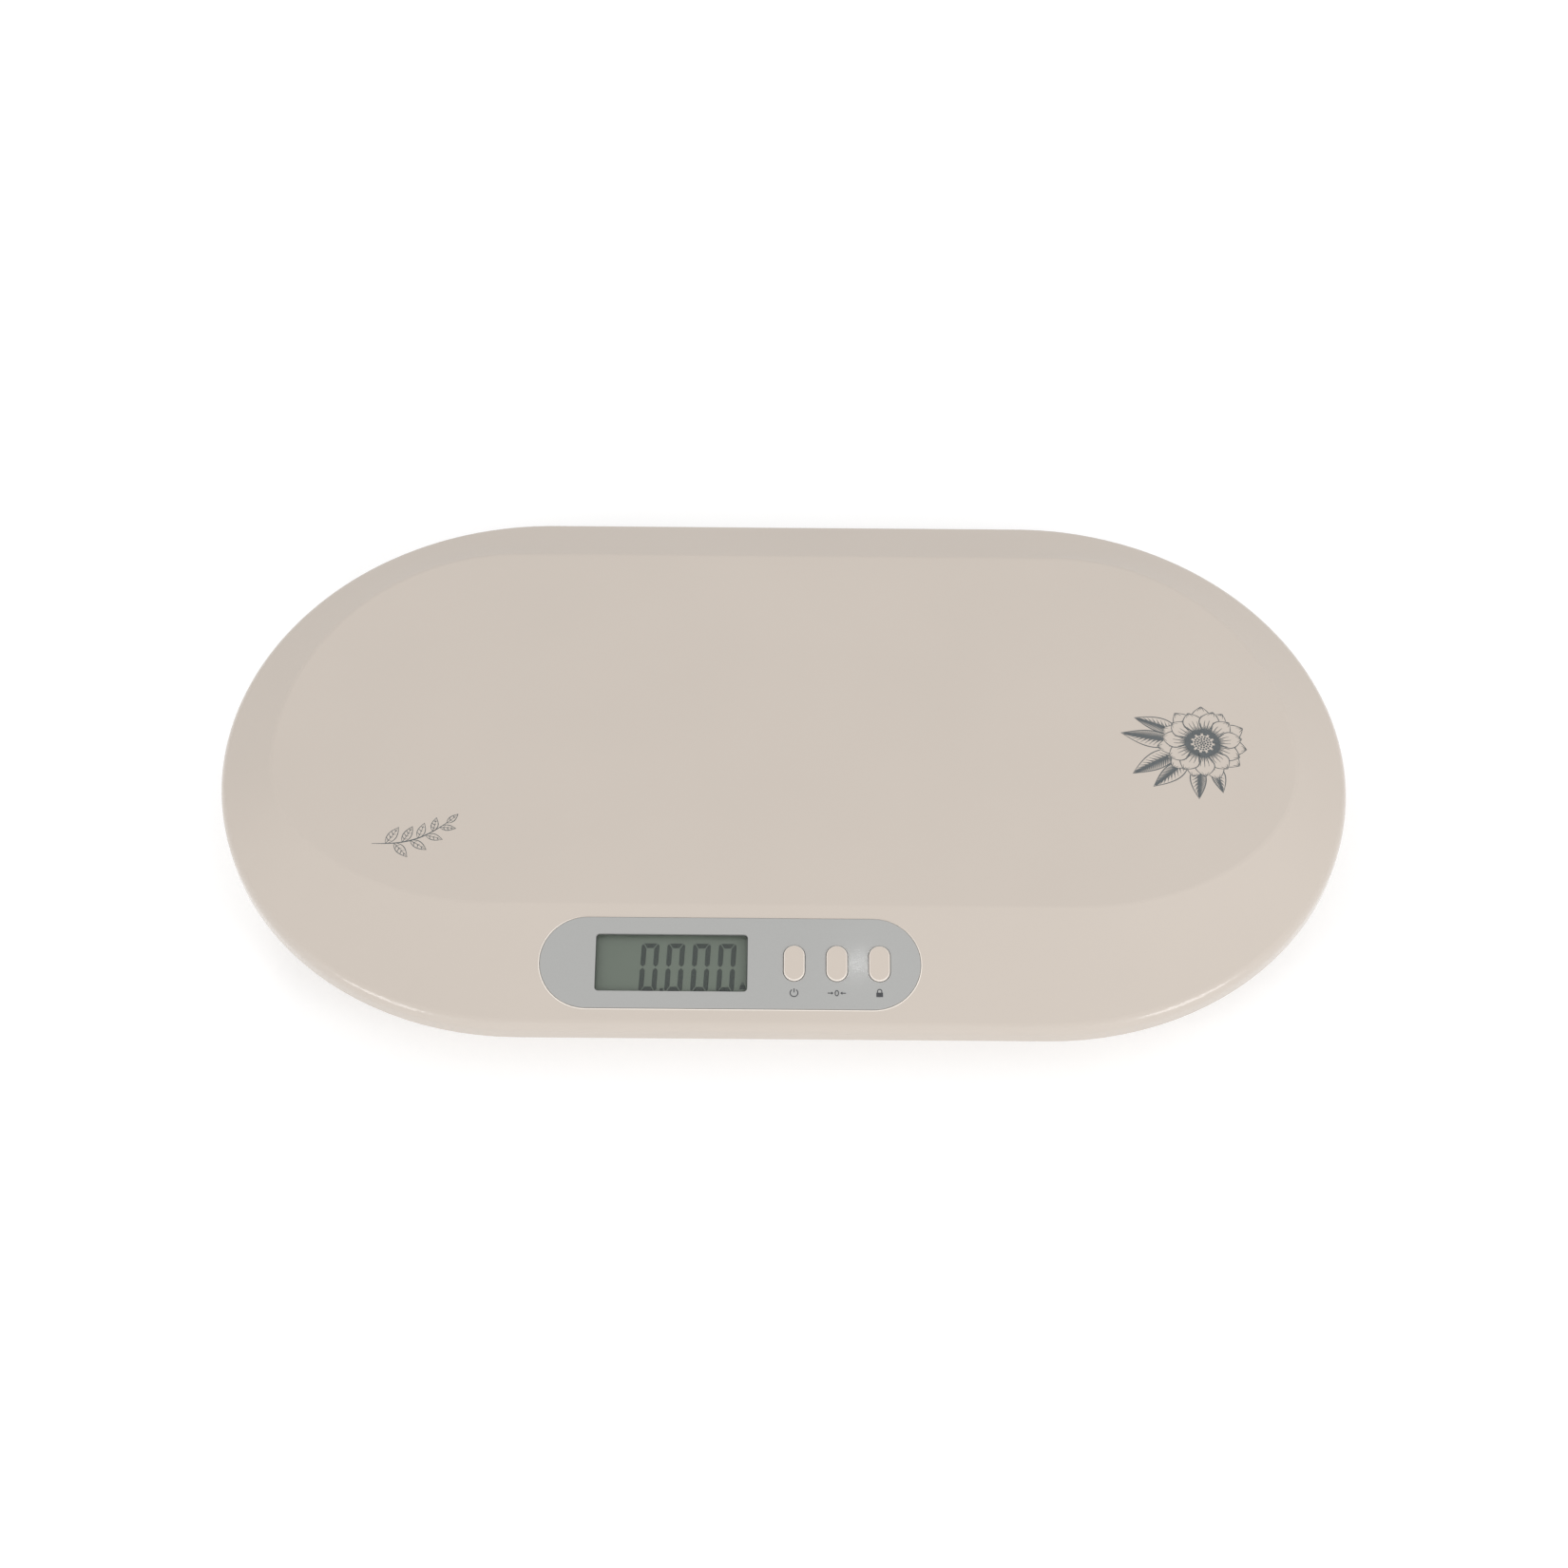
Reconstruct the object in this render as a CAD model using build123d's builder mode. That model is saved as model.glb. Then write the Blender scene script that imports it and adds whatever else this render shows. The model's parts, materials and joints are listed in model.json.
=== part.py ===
from build123d import *

import os
from math import atan2, cos, radians, sin, tan

# Digital baby weighing scale, in millimetres. +X runs along the tray, -Y is the side with the
# display, +Z is up. The origin is on the table, under the centre of the tray.

os.makedirs("parts", exist_ok=True)


# ---------------------------------------------------------------- driving dimensions

# tray outline: a stadium, with a raised flat plateau and a border that slopes down all round
tray_length = 540.0
tray_width = 300.0
overall_height = 50.0
plateau_rise = 13.5
skirt_height = 9.0
front_band = 57.8
back_band = 32.2
side_band = 26.0
crease_cap_depth = 109.6
crease_cap_shift = -5.5
tray_wall = 2.6
rim_round = 5.0
crease_round = 4.0

# ribs under the plateau
rib_thickness = 1.8
rib_depth = 8.0
rib_rows = 4
rib_row_pitch = 46.0
rib_row_middle = 22.0
rib_columns = 5
rib_column_pitch = 82.0

# bottom cover: a pan with sloping sides and a collar that stands inside the skirt
floor_gap = 8.0
underside_inset = 28.0
cover_wall = 2.4
cover_floor = 2.5
cover_gap = 0.4
collar_height = 4.5
underside_round = 2.0

# screws that hold the cover to the tray
cover_screw_shank = 1.45
cover_screw_length = 12.0
cover_screw_head = 3.0
cover_screw_head_height = 2.0
cover_screw_sink = 3.0
cover_boss_radius = 5.5
cover_boss_height = 5.0
tray_boss_radius = 4.0
screw_end_inset = 17.0
screw_side_inset = 22.0
screw_board_gap = 10.6
middle_screw_y = -60.0
thread_gap = 0.05
screw_hole_gap = 0.25
head_gap = 0.4
pilot_spare = 1.0

# display panel on the front slope; local x runs along the tray, local y up the slope
panel_length = 172.6
panel_width = 43.3
panel_shift = -23.6
panel_from_crease = 28.4
panel_thickness = 1.2
panel_proud = 0.4
panel_gap = 0.15
panel_edge_round = 0.3
window_length = 69.0
window_width = 27.3
window_x = -26.6
window_round = 1.8

# window, glass and what holds them
lens_thickness = 1.0
lens_margin = 3.0
lens_gap = 0.15
sill_margin = 1.0
gasket_thickness = 0.5
glass_margin = 3.5
glass_plate = 1.4
glass_ledge = 4.0
reflector_thickness = 0.3
reflector_margin = 0.8
holder_gap = 0.2
holder_wall = 1.6
holder_reach = 3.0
holder_window_margin = 3.0
strip_width = 2.0
strip_end_margin = 2.0
strip_gap = 0.3

# buttons; each cap carries a flange that stops it against the underside of the tray
button_names = ["power", "tare", "hold"]
button_first_x = 29.0
button_pitch = 19.3
button_width = 9.5
button_height = 16.8
button_proud = 1.0
button_gap = 0.3
button_edge_round = 0.8
button_travel = 0.5
flange_margin = 2.0
flange_thickness = 1.1
flange_gap = 0.05

# tactile switches under the buttons
switch_size = 6.2
switch_height = 3.5
plunger_radius = 1.6
plunger_rise = 0.75
plunger_depth = 0.5
plunger_gap = 0.08
plunger_spare = 0.2

# circuit board
board_width = 40.0
board_thickness = 1.6
board_end_margin = 8.0
board_boss_radius = 3.0
board_boss_inset = 4.5
board_screw_shank = 1.0
board_screw_length = 5.4
board_screw_head = 2.0
board_screw_head_height = 1.3
board_screw_pilot = 4.2
chip_radius = 7.0
chip_height = 1.8
chip_round = 1.6
chip_x = -26.0
chip_y = -4.0
capacitor_radius = 2.5
capacitor_height = 5.5
capacitor_x = 36.0
capacitor_y = -8.0
capacitor_pitch = 12.0
crystal_length = 11.0
crystal_width = 4.6
crystal_height = 3.5
crystal_x = 2.0
crystal_y = -8.0
header_length = 7.5
header_depth = 5.8
header_height = 6.0
header_y = 9.0
header_x = {
    "front_left": -60.0,
    "back_left": -48.0,
    "battery": -10.0,
    "back_right": 40.0,
    "front_right": 52.0,
}

# feet, each on its own load cell
foot_inset_x = 72.0
foot_inset_y = 42.0
pad_radius = 16.0
pad_height = 3.0
pad_seat = 1.0
pad_gap = 0.1
pad_edge = 0.6
carrier_radius = 18.0
carrier_thickness = 4.5
carrier_edge = 1.0
post_radius = 7.0
post_gap = 0.6
lip_overhang = 0.6
lip_height = 1.2
lip_gap = 0.4
cell_size = 34.0
cell_corner = 3.0
cell_thickness = 2.6
cell_lift = 3.0
cell_gap = 0.3
cell_ledge = 3.0
tongue_width = 14.0
tongue_length = 22.0
tongue_slot = 2.5
well_wall = 2.0
gauge_length = 8.0
gauge_width = 9.0
gauge_height = 2.6
gauge_inset = 1.0
retainer_thickness = 3.0
retainer_opening = 24.0
retainer_notch = 5.0
ear_radius = 4.0
ear_offset = 3.2
retainer_screw_shank = 1.1
retainer_screw_length = 7.6
retainer_screw_head = 2.2
retainer_screw_head_height = 1.3
retainer_pilot_spare = 0.4

# cross recess in every screw head
recess_width = 0.6
recess_depth = 0.7
recess_share = 0.62

# battery box, three cells side by side
battery_count = 3
battery_radius = 5.25
battery_length = 43.7
battery_nub_radius = 1.9
battery_nub_height = 0.8
battery_spacing = 0.8
battery_side_gap = 0.5
battery_top_gap = 0.4
battery_edge = 0.5
battery_y = 22.0
box_wall = 2.0
contact_thickness = 0.4
contact_width = 9.0
contact_height = 9.0
contact_bump_radius = 1.6
contact_bump_height = 0.6
spring_length = 5.0
spring_wire = 0.35
spring_base_radius = 3.4
spring_turns = 3.5
spring_cone = -14.0
spring_clearance = 0.02

# battery door on two hinge pins
door_thickness = 1.9
door_seat_gap = 0.1
door_ledge = 2.0
door_edge_gap = 0.3
door_frame_height = 4.5
door_frame_margin = 4.0
hinge_rise = 2.2
hinge_from_box = 3.0
hinge_pin_radius = 1.2
hinge_pin_length = 2.0
hinge_pin_gap = 0.06
hinge_pin_spare = 0.3
hinge_pocket_gap = 0.3
latch_width = 12.0
latch_length = 9.0
latch_slot = 1.0
latch_nose = 0.8
latch_nose_height = 1.5
latch_notch_gap = 0.5
grip_count = 3
grip_pitch = 1.8
grip_width = 0.8
grip_depth = 0.4

# leads inside the casing
lead_radius = 1.2
lead_exit_lift = 0.1
port_reach = 22.0
header_reach = 12.0
battery_port_x = -20.0

# how closely an edge must lie to a height to count as being at it
height_slack = 0.01


# ---------------------------------------------------------------- heights and places worked out from them

plateau_z = overall_height
rim_z = plateau_z - plateau_rise
skirt_z = rim_z - skirt_height
tray_radius = tray_width / 2
cap_centre_x = tray_length / 2 - tray_radius
slope = atan2(plateau_rise, front_band)
crease_front_y = -tray_radius + front_band
crease_back_y = tray_radius - back_band
crease_end_x = tray_length / 2 - side_band

cover_top_radius = tray_radius - tray_wall - cover_gap
cover_floor_radius = tray_radius - underside_inset
cover_lean = atan2(cover_top_radius - cover_floor_radius, skirt_z - floor_gap)
cover_side = cover_wall / cos(cover_lean)
floor_top_z = floor_gap + cover_floor
floor_end_x = cap_centre_x + cover_floor_radius
boss_meet_z = floor_gap + cover_boss_height
screw_seat_z = floor_gap + cover_screw_sink

panel_plane = Plane(
    origin=(
        panel_shift,
        crease_front_y - panel_from_crease * cos(slope),
        plateau_z - panel_from_crease * sin(slope),
    ),
    x_dir=(1, 0, 0),
    z_dir=(0, -sin(slope), cos(slope)),
)
panel_axis = Axis(panel_plane.origin, panel_plane.z_dir)

# depths along the panel's normal, zero on the slope and positive outwards
recess_floor = panel_proud - panel_thickness
lens_back = recess_floor - lens_thickness
glass_front = -tray_wall - gasket_thickness
glass_step = glass_front - glass_plate
glass_back = glass_step - glass_plate
reflector_back = glass_back - reflector_thickness
flange_top = -tray_wall - flange_gap
flange_bottom = flange_top - flange_thickness
switch_top = flange_bottom - plunger_rise
board_top = switch_top - switch_height
board_bottom = board_top - board_thickness

glass_length = window_length + 2 * (sill_margin + glass_margin)
glass_width = window_width + 2 * (sill_margin + glass_margin)
holder_length = glass_length + 2 * (holder_gap + holder_wall)
holder_width = glass_width + 2 * (holder_gap + holder_wall)
button_x = [button_first_x + button_pitch * i for i in range(len(button_names))]
board_left = window_x - holder_length / 2 - board_end_margin
board_right = button_x[-1] + switch_size / 2 + board_end_margin
board_length = board_right - board_left
board_middle = (board_left + board_right) / 2
board_screw_x = board_length / 2 - board_boss_inset
board_screw_y = board_width / 2 - board_boss_inset

# the front screws stand clear of the board's ends, and the back ones mirror them
screw_row_x = screw_board_gap - panel_shift - board_left
cover_screw_points = [
    (floor_end_x - screw_end_inset, 0.0),
    (-floor_end_x + screw_end_inset, 0.0),
    (0.0, cover_floor_radius - screw_side_inset),
    (0.0, middle_screw_y),
]
for side in (-1, 1):
    for end in (-1, 1):
        cover_screw_points.append((end * screw_row_x, side * (cover_floor_radius - screw_side_inset)))


carrier_z = pad_height - pad_seat
carrier_top_z = carrier_z + carrier_thickness
cell_z = floor_top_z + cell_lift
cell_top_z = cell_z + cell_thickness
foot_x = floor_end_x - foot_inset_x
foot_y = cover_floor_radius - foot_inset_y
well_inside = cell_size + 2 * cell_gap
well_outside = well_inside + 2 * well_wall
ear_y = well_outside / 2 + ear_offset
feet = {
    "front_left": (-foot_x, -foot_y),
    "front_right": (foot_x, -foot_y),
    "back_left": (-foot_x, foot_y),
    "back_right": (foot_x, foot_y),
}

battery_pitch = 2 * battery_radius + battery_spacing
box_inside_x = (
    battery_length
    + battery_nub_height
    + contact_bump_height
    + spring_length
    + 2 * contact_thickness
)
box_inside_y = battery_count * battery_pitch - battery_spacing + 2 * battery_side_gap
door_top_z = floor_gap + door_thickness
ledge_z = door_top_z + door_seat_gap
battery_z = ledge_z + battery_top_gap + battery_radius
box_ceiling_z = battery_z + battery_radius + battery_top_gap
box_outside_x = box_inside_x + 2 * box_wall
box_outside_y = box_inside_y + 2 * box_wall
hinge_x = -box_outside_x / 2 - hinge_from_box
hinge_z = floor_gap + hinge_rise
door_free_x = box_inside_x / 2 + door_ledge + box_wall
door_width = box_inside_y + 2 * door_ledge
pocket_radius = hinge_rise + hinge_pocket_gap
frame_left_x = hinge_x - pocket_radius - door_frame_margin
frame_right_x = door_free_x + door_frame_margin
frame_width = door_width + 2 * (hinge_pin_length + hinge_pin_spare + door_frame_margin)
hinge_top_z = hinge_z + pocket_radius + box_wall


# ---------------------------------------------------------------- helpers


def stadium(radius):
    """Stadium about the origin whose end caps share the tray's cap centres."""
    with BuildSketch() as outline:
        with BuildLine():
            Line((-cap_centre_x, -radius), (cap_centre_x, -radius))
            CenterArc((cap_centre_x, 0), radius, -90, 90)
            CenterArc((cap_centre_x, 0), radius, 0, 90)
            Line((cap_centre_x, radius), (-cap_centre_x, radius))
            CenterArc((-cap_centre_x, 0), radius, 90, 90)
            CenterArc((-cap_centre_x, 0), radius, 180, 90)
        make_face()
    return outline.sketch


def crease(inset):
    """Edge of the plateau: straight front and back, joined at each end by two quarter ellipses."""
    end_x = crease_end_x - inset
    front_y = crease_front_y + inset
    back_y = crease_back_y - inset
    cap_x = end_x - crease_cap_depth
    front_reach = crease_cap_shift - front_y
    back_reach = back_y - crease_cap_shift
    with BuildSketch() as outline:
        with BuildLine():
            Line((-cap_x, front_y), (cap_x, front_y))
            EllipticalCenterArc(
                (cap_x, crease_cap_shift), crease_cap_depth, front_reach, start_angle=-90, arc_size=90
            )
            EllipticalCenterArc(
                (cap_x, crease_cap_shift), crease_cap_depth, back_reach, start_angle=0, arc_size=90
            )
            Line((cap_x, back_y), (-cap_x, back_y))
            EllipticalCenterArc(
                (-cap_x, crease_cap_shift), crease_cap_depth, back_reach, start_angle=90, arc_size=90
            )
            EllipticalCenterArc(
                (-cap_x, crease_cap_shift), crease_cap_depth, front_reach, start_angle=180, arc_size=90
            )
        make_face()
    return outline.sketch


def edges_at(piece, height):
    """Edges of a piece that lie wholly at one height."""
    return piece.edges().filter_by_position(Axis.Z, height - height_slack, height + height_slack)


def cross_recess(head_radius):
    """Cross for a screwdriver, sized to the screw's head."""
    reach = 2 * head_radius * recess_share
    with BuildSketch() as cross:
        Rectangle(reach, recess_width)
        Rectangle(recess_width, reach)
    return cross.sketch


def screws(plane, points, shank, length, head, head_height):
    """Pan-head screws at points of a plane on which their heads seat, shanks along its +z."""
    with BuildPart() as group:
        with BuildSketch(plane):
            with Locations(*points):
                Circle(shank)
        extrude(amount=length)
        with BuildSketch(plane):
            with Locations(*points):
                Circle(head)
        extrude(amount=-head_height)
        with BuildSketch(plane.offset(-head_height)):
            with Locations(*points):
                add(cross_recess(head))
        extrude(amount=recess_depth, mode=Mode.SUBTRACT)
    return group.part


def bend_radii(points):
    """Largest radius at each corner of a lead that its two runs leave room for."""
    radii = []
    for before, corner, after in zip(points, points[1:], points[2:]):
        run_in = Vector(*corner) - Vector(*before)
        run_out = Vector(*after) - Vector(*corner)
        half_turn = run_in.get_angle(run_out) / 2
        shorter = min(run_in.length, run_out.length)
        radii.append(0.45 * shorter / tan(radians(half_turn)))
    return radii


def lead(points):
    """Round lead along a list of points: straight runs joined by tangent arcs."""
    with BuildPart() as tube:
        with BuildLine() as route:
            FilletPolyline(*points, radius=bend_radii(points))
        with BuildSketch(Plane(origin=route.line @ 0, z_dir=route.line % 0)):
            Circle(lead_radius)
        sweep()
    return tube.part


def save(piece, label):
    """Name a finished piece and write it as its own STEP file."""
    piece.label = label
    export_step(piece, f"parts/{label}.step")


# ---------------------------------------------------------------- top tray

with BuildPart() as tray_envelope:
    with BuildSketch(Plane.XY.offset(rim_z)):
        add(stadium(tray_radius))
    with BuildSketch(Plane.XY.offset(plateau_z)):
        add(crease(0))
    loft(ruled=True)
    with BuildSketch(Plane.XY.offset(skirt_z)):
        add(stadium(tray_radius))
    extrude(amount=skirt_height)
    fillet(edges_at(tray_envelope, rim_z), rim_round)
    fillet(edges_at(tray_envelope, plateau_z), crease_round)

inner_rim_z = rim_z - tray_wall * (1 - sin(slope)) / cos(slope)
with BuildPart() as tray_hollow:
    with BuildSketch(Plane.XY.offset(inner_rim_z)):
        add(stadium(tray_radius - tray_wall))
    with BuildSketch(Plane.XY.offset(plateau_z - tray_wall)):
        add(crease(tray_wall * tan(slope / 2)))
    loft(ruled=True)
    with BuildSketch(Plane.XY.offset(skirt_z)):
        add(stadium(tray_radius - tray_wall))
    extrude(amount=inner_rim_z - skirt_z)

# ribs and screw bosses run up into the wall, so they are trimmed by the tray's own outside
rib_field_x = (rib_columns - 1) * rib_column_pitch
rib_field_y = (rib_rows - 1) * rib_row_pitch
rib_low_z = plateau_z - tray_wall - rib_depth
with BuildPart() as tray_fittings:
    with BuildSketch(Plane.XY.offset(rib_low_z)):
        with Locations((0, rib_row_middle)):
            with GridLocations(0, rib_row_pitch, 1, rib_rows):
                Rectangle(rib_field_x + rib_thickness, rib_thickness)
            with GridLocations(rib_column_pitch, 0, rib_columns, 1):
                Rectangle(rib_thickness, rib_field_y + rib_thickness)
    extrude(amount=rib_depth + tray_wall / 2)
    with BuildSketch(Plane.XY.offset(boss_meet_z)):
        with Locations(*cover_screw_points):
            Circle(tray_boss_radius)
    extrude(amount=plateau_z - boss_meet_z)
    add(tray_envelope.part, mode=Mode.INTERSECT)

with BuildPart() as board_bosses:
    with BuildSketch(panel_plane.offset(board_top)):
        with Locations((board_middle, 0)):
            with GridLocations(2 * board_screw_x, 2 * board_screw_y, 2, 2):
                Circle(board_boss_radius)
    extrude(amount=-board_top - tray_wall / 2)
    with BuildSketch(panel_plane.offset(board_top)):
        with Locations((board_middle, 0)):
            with GridLocations(2 * board_screw_x, 2 * board_screw_y, 2, 2):
                Circle(board_screw_shank + thread_gap)
    extrude(amount=board_screw_pilot, mode=Mode.SUBTRACT)

with BuildPart() as top_tray:
    add(tray_envelope.part)
    add(tray_hollow.part, mode=Mode.SUBTRACT)
    add(tray_fittings.part)
    add(board_bosses.part)
    # pilot holes for the cover screws
    with BuildSketch(Plane.XY.offset(boss_meet_z)):
        with Locations(*cover_screw_points):
            Circle(cover_screw_shank + thread_gap)
    extrude(amount=screw_seat_z + cover_screw_length + pilot_spare - boss_meet_z, mode=Mode.SUBTRACT)
    # recess for the display panel, pocket for the lens, sill round the glass
    with BuildSketch(panel_plane.offset(recess_floor)):
        SlotOverall(panel_length + 2 * panel_gap, panel_width + 2 * panel_gap)
    extrude(amount=panel_thickness, mode=Mode.SUBTRACT)
    with BuildSketch(panel_plane.offset(lens_back)):
        with Locations((window_x, 0)):
            RectangleRounded(
                window_length + 2 * (lens_margin + lens_gap),
                window_width + 2 * (lens_margin + lens_gap),
                window_round,
            )
    extrude(amount=lens_thickness, mode=Mode.SUBTRACT)
    with BuildSketch(panel_plane.offset(-2 * tray_wall)):
        with Locations((window_x, 0)):
            RectangleRounded(
                window_length + 2 * sill_margin, window_width + 2 * sill_margin, window_round
            )
        with Locations(*[(x, 0) for x in button_x]):
            SlotOverall(button_height + 2 * button_gap, button_width + 2 * button_gap, rotation=90)
    extrude(amount=2 * tray_wall, mode=Mode.SUBTRACT)
save(top_tray.part, "top_tray")


# ---------------------------------------------------------------- bottom cover

with BuildPart() as cover_shell:
    with BuildSketch(Plane.XY.offset(floor_gap)):
        add(stadium(cover_floor_radius))
    with BuildSketch(Plane.XY.offset(skirt_z)):
        add(stadium(cover_top_radius))
    loft(ruled=True)
    fillet(edges_at(cover_shell, floor_gap), underside_round)
    with BuildSketch(Plane.XY.offset(skirt_z)):
        add(stadium(cover_top_radius))
    extrude(amount=collar_height)
    with BuildSketch(Plane.XY.offset(floor_top_z)):
        add(stadium(cover_floor_radius + cover_floor * tan(cover_lean) - cover_side))
    with BuildSketch(Plane.XY.offset(skirt_z)):
        add(stadium(cover_top_radius - cover_side))
    loft(ruled=True, mode=Mode.SUBTRACT)
    with BuildSketch(Plane.XY.offset(skirt_z)):
        add(stadium(cover_top_radius - cover_wall))
    extrude(amount=collar_height, mode=Mode.SUBTRACT)

with BuildPart() as bottom_cover:
    add(cover_shell.part)
    # screw bosses, load cell wells and the bosses beside them
    with BuildSketch(Plane.XY.offset(floor_gap)):
        with Locations(*cover_screw_points):
            Circle(cover_boss_radius)
    extrude(amount=cover_boss_height)
    with BuildSketch(Plane.XY.offset(floor_gap)):
        for x, y in feet.values():
            with Locations((x, y)):
                Rectangle(well_outside, well_outside)
            with Locations((x, y - ear_y), (x, y + ear_y)):
                Circle(ear_radius)
            with Locations((x, y)):
                Rectangle(2 * ear_radius, 2 * ear_y)
    extrude(amount=cell_top_z - floor_gap)
    # frame round the battery opening, hinge block and battery box
    with BuildSketch(Plane.XY.offset(floor_gap)):
        with Locations(((frame_left_x + frame_right_x) / 2, battery_y)):
            Rectangle(frame_right_x - frame_left_x, frame_width)
    extrude(amount=door_frame_height)
    with BuildSketch(Plane.XY.offset(floor_gap)):
        with Locations((hinge_x, battery_y)):
            Rectangle(2 * (pocket_radius + box_wall), frame_width)
    extrude(amount=hinge_top_z - floor_gap)
    with BuildSketch(Plane.XY.offset(floor_gap)):
        with Locations((0, battery_y)):
            Rectangle(box_outside_x, box_outside_y)
    extrude(amount=box_ceiling_z + box_wall - floor_gap)
    # load cell wells: a square seat, an opening under the tongue and a hole for the foot's post
    with BuildSketch(Plane.XY.offset(cell_z)):
        with Locations(*feet.values()):
            RectangleRounded(well_inside, well_inside, cell_corner)
    extrude(amount=cell_thickness, mode=Mode.SUBTRACT)
    with BuildSketch(Plane.XY.offset(floor_top_z)):
        with Locations(*feet.values()):
            Rectangle(well_inside - 2 * cell_ledge, well_inside - 2 * cell_ledge)
    extrude(amount=cell_lift, mode=Mode.SUBTRACT)
    with BuildSketch(Plane.XY.offset(floor_gap)):
        with Locations(*feet.values()):
            Circle(post_radius + post_gap)
    extrude(amount=cover_floor, mode=Mode.SUBTRACT)
    with BuildSketch(Plane.XY.offset(cell_top_z)):
        for x, y in feet.values():
            with Locations((x, y - ear_y), (x, y + ear_y)):
                Circle(retainer_screw_shank + thread_gap)
    extrude(
        amount=retainer_thickness - retainer_screw_length - retainer_pilot_spare, mode=Mode.SUBTRACT
    )
    # sunk holes for the cover screws
    with BuildSketch(Plane.XY.offset(floor_gap)):
        with Locations(*cover_screw_points):
            Circle(cover_screw_head + head_gap)
    extrude(amount=cover_screw_sink, mode=Mode.SUBTRACT)
    with BuildSketch(Plane.XY.offset(floor_gap)):
        with Locations(*cover_screw_points):
            Circle(cover_screw_shank + screw_hole_gap)
    extrude(amount=cover_boss_height, mode=Mode.SUBTRACT)
    # battery opening, seat for the door, hinge pocket, pin holes and latch notch
    with BuildSketch(Plane.XY.offset(floor_gap)):
        with Locations((0, battery_y)):
            Rectangle(box_inside_x, box_inside_y)
    extrude(amount=box_ceiling_z - floor_gap, mode=Mode.SUBTRACT)
    with BuildSketch(Plane.XY.offset(floor_gap)):
        with Locations(((hinge_x + door_free_x + door_edge_gap) / 2, battery_y)):
            Rectangle(door_free_x + door_edge_gap - hinge_x, door_width + 2 * door_edge_gap)
    extrude(amount=ledge_z - floor_gap, mode=Mode.SUBTRACT)
    with BuildSketch(Plane.XY.offset(floor_gap)):
        with Locations((hinge_x - pocket_radius / 2, battery_y)):
            Rectangle(pocket_radius, door_width + 2 * door_edge_gap)
    extrude(amount=hinge_rise, mode=Mode.SUBTRACT)
    with BuildSketch(Plane.XZ.offset(-battery_y)):
        with Locations((hinge_x, hinge_z)):
            Circle(pocket_radius)
    extrude(amount=door_width / 2 + door_edge_gap, both=True, mode=Mode.SUBTRACT)
    with BuildSketch(Plane.XZ.offset(-battery_y)):
        with Locations((hinge_x, hinge_z)):
            Circle(hinge_pin_radius + hinge_pin_gap)
    extrude(amount=door_width / 2 + hinge_pin_length + hinge_pin_spare, both=True, mode=Mode.SUBTRACT)
    with BuildSketch(Plane.XY.offset(floor_gap)):
        with Locations((door_free_x + (latch_nose + latch_notch_gap) / 2, battery_y)):
            Rectangle(latch_nose + latch_notch_gap, latch_width + 2 * latch_notch_gap)
    extrude(amount=ledge_z - floor_gap, mode=Mode.SUBTRACT)
save(bottom_cover.part, "bottom_cover")


# ---------------------------------------------------------------- battery door, cells and contacts

with BuildPart() as battery_door:
    with BuildSketch(Plane.XY.offset(floor_gap)):
        with Locations(((hinge_x + door_free_x) / 2, battery_y)):
            Rectangle(door_free_x - hinge_x, door_width)
    extrude(amount=door_thickness)
    with BuildSketch(Plane.XZ.offset(-battery_y)):
        with Locations((hinge_x, hinge_z)):
            Circle(hinge_rise)
    extrude(amount=door_width / 2, both=True)
    with BuildSketch(Plane.XZ.offset(-battery_y)):
        with Locations((hinge_x, hinge_z)):
            Circle(hinge_pin_radius)
    extrude(amount=door_width / 2 + hinge_pin_length, both=True)
    # latch finger: free on both sides, with a nose at its end and grips across its face
    with BuildSketch(Plane.XY.offset(floor_gap)):
        with Locations((door_free_x - latch_length / 2, battery_y)):
            with GridLocations(0, latch_width + latch_slot, 1, 2):
                Rectangle(latch_length, latch_slot)
    extrude(amount=door_thickness, mode=Mode.SUBTRACT)
    with BuildSketch(Plane.XY.offset(door_top_z - latch_nose_height)):
        with Locations((door_free_x + latch_nose / 2, battery_y)):
            Rectangle(latch_nose, latch_width)
    extrude(amount=latch_nose_height)
    with BuildSketch(Plane.XY.offset(floor_gap)):
        with Locations((door_free_x - latch_length / 2, battery_y)):
            with GridLocations(grip_pitch, 0, grip_count, 1):
                Rectangle(grip_width, latch_width - 2 * grip_pitch)
    extrude(amount=grip_depth, mode=Mode.SUBTRACT)
save(battery_door.part, "battery_door")

# neighbouring cells point opposite ways, so springs and plates alternate from end to end
battery_ys = [battery_y + battery_pitch * (i - (battery_count - 1) / 2) for i in range(battery_count)]
battery_facing = [1 if i % 2 == 0 else -1 for i in range(battery_count)]
for index, (y, facing) in enumerate(zip(battery_ys, battery_facing)):
    spring_face = facing * (-box_inside_x / 2 + contact_thickness + spring_length)
    with BuildPart() as battery:
        with BuildSketch(Plane((spring_face, y, battery_z), z_dir=(facing, 0, 0))):
            Circle(battery_radius)
        extrude(amount=battery_length)
        fillet(battery.edges().filter_by(GeomType.CIRCLE), battery_edge)
        with BuildSketch(
            Plane((spring_face + facing * battery_length, y, battery_z), z_dir=(facing, 0, 0))
        ):
            Circle(battery_nub_radius)
        extrude(amount=battery_nub_height)
    save(battery.part, f"battery_cell_{index + 1}")

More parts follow.
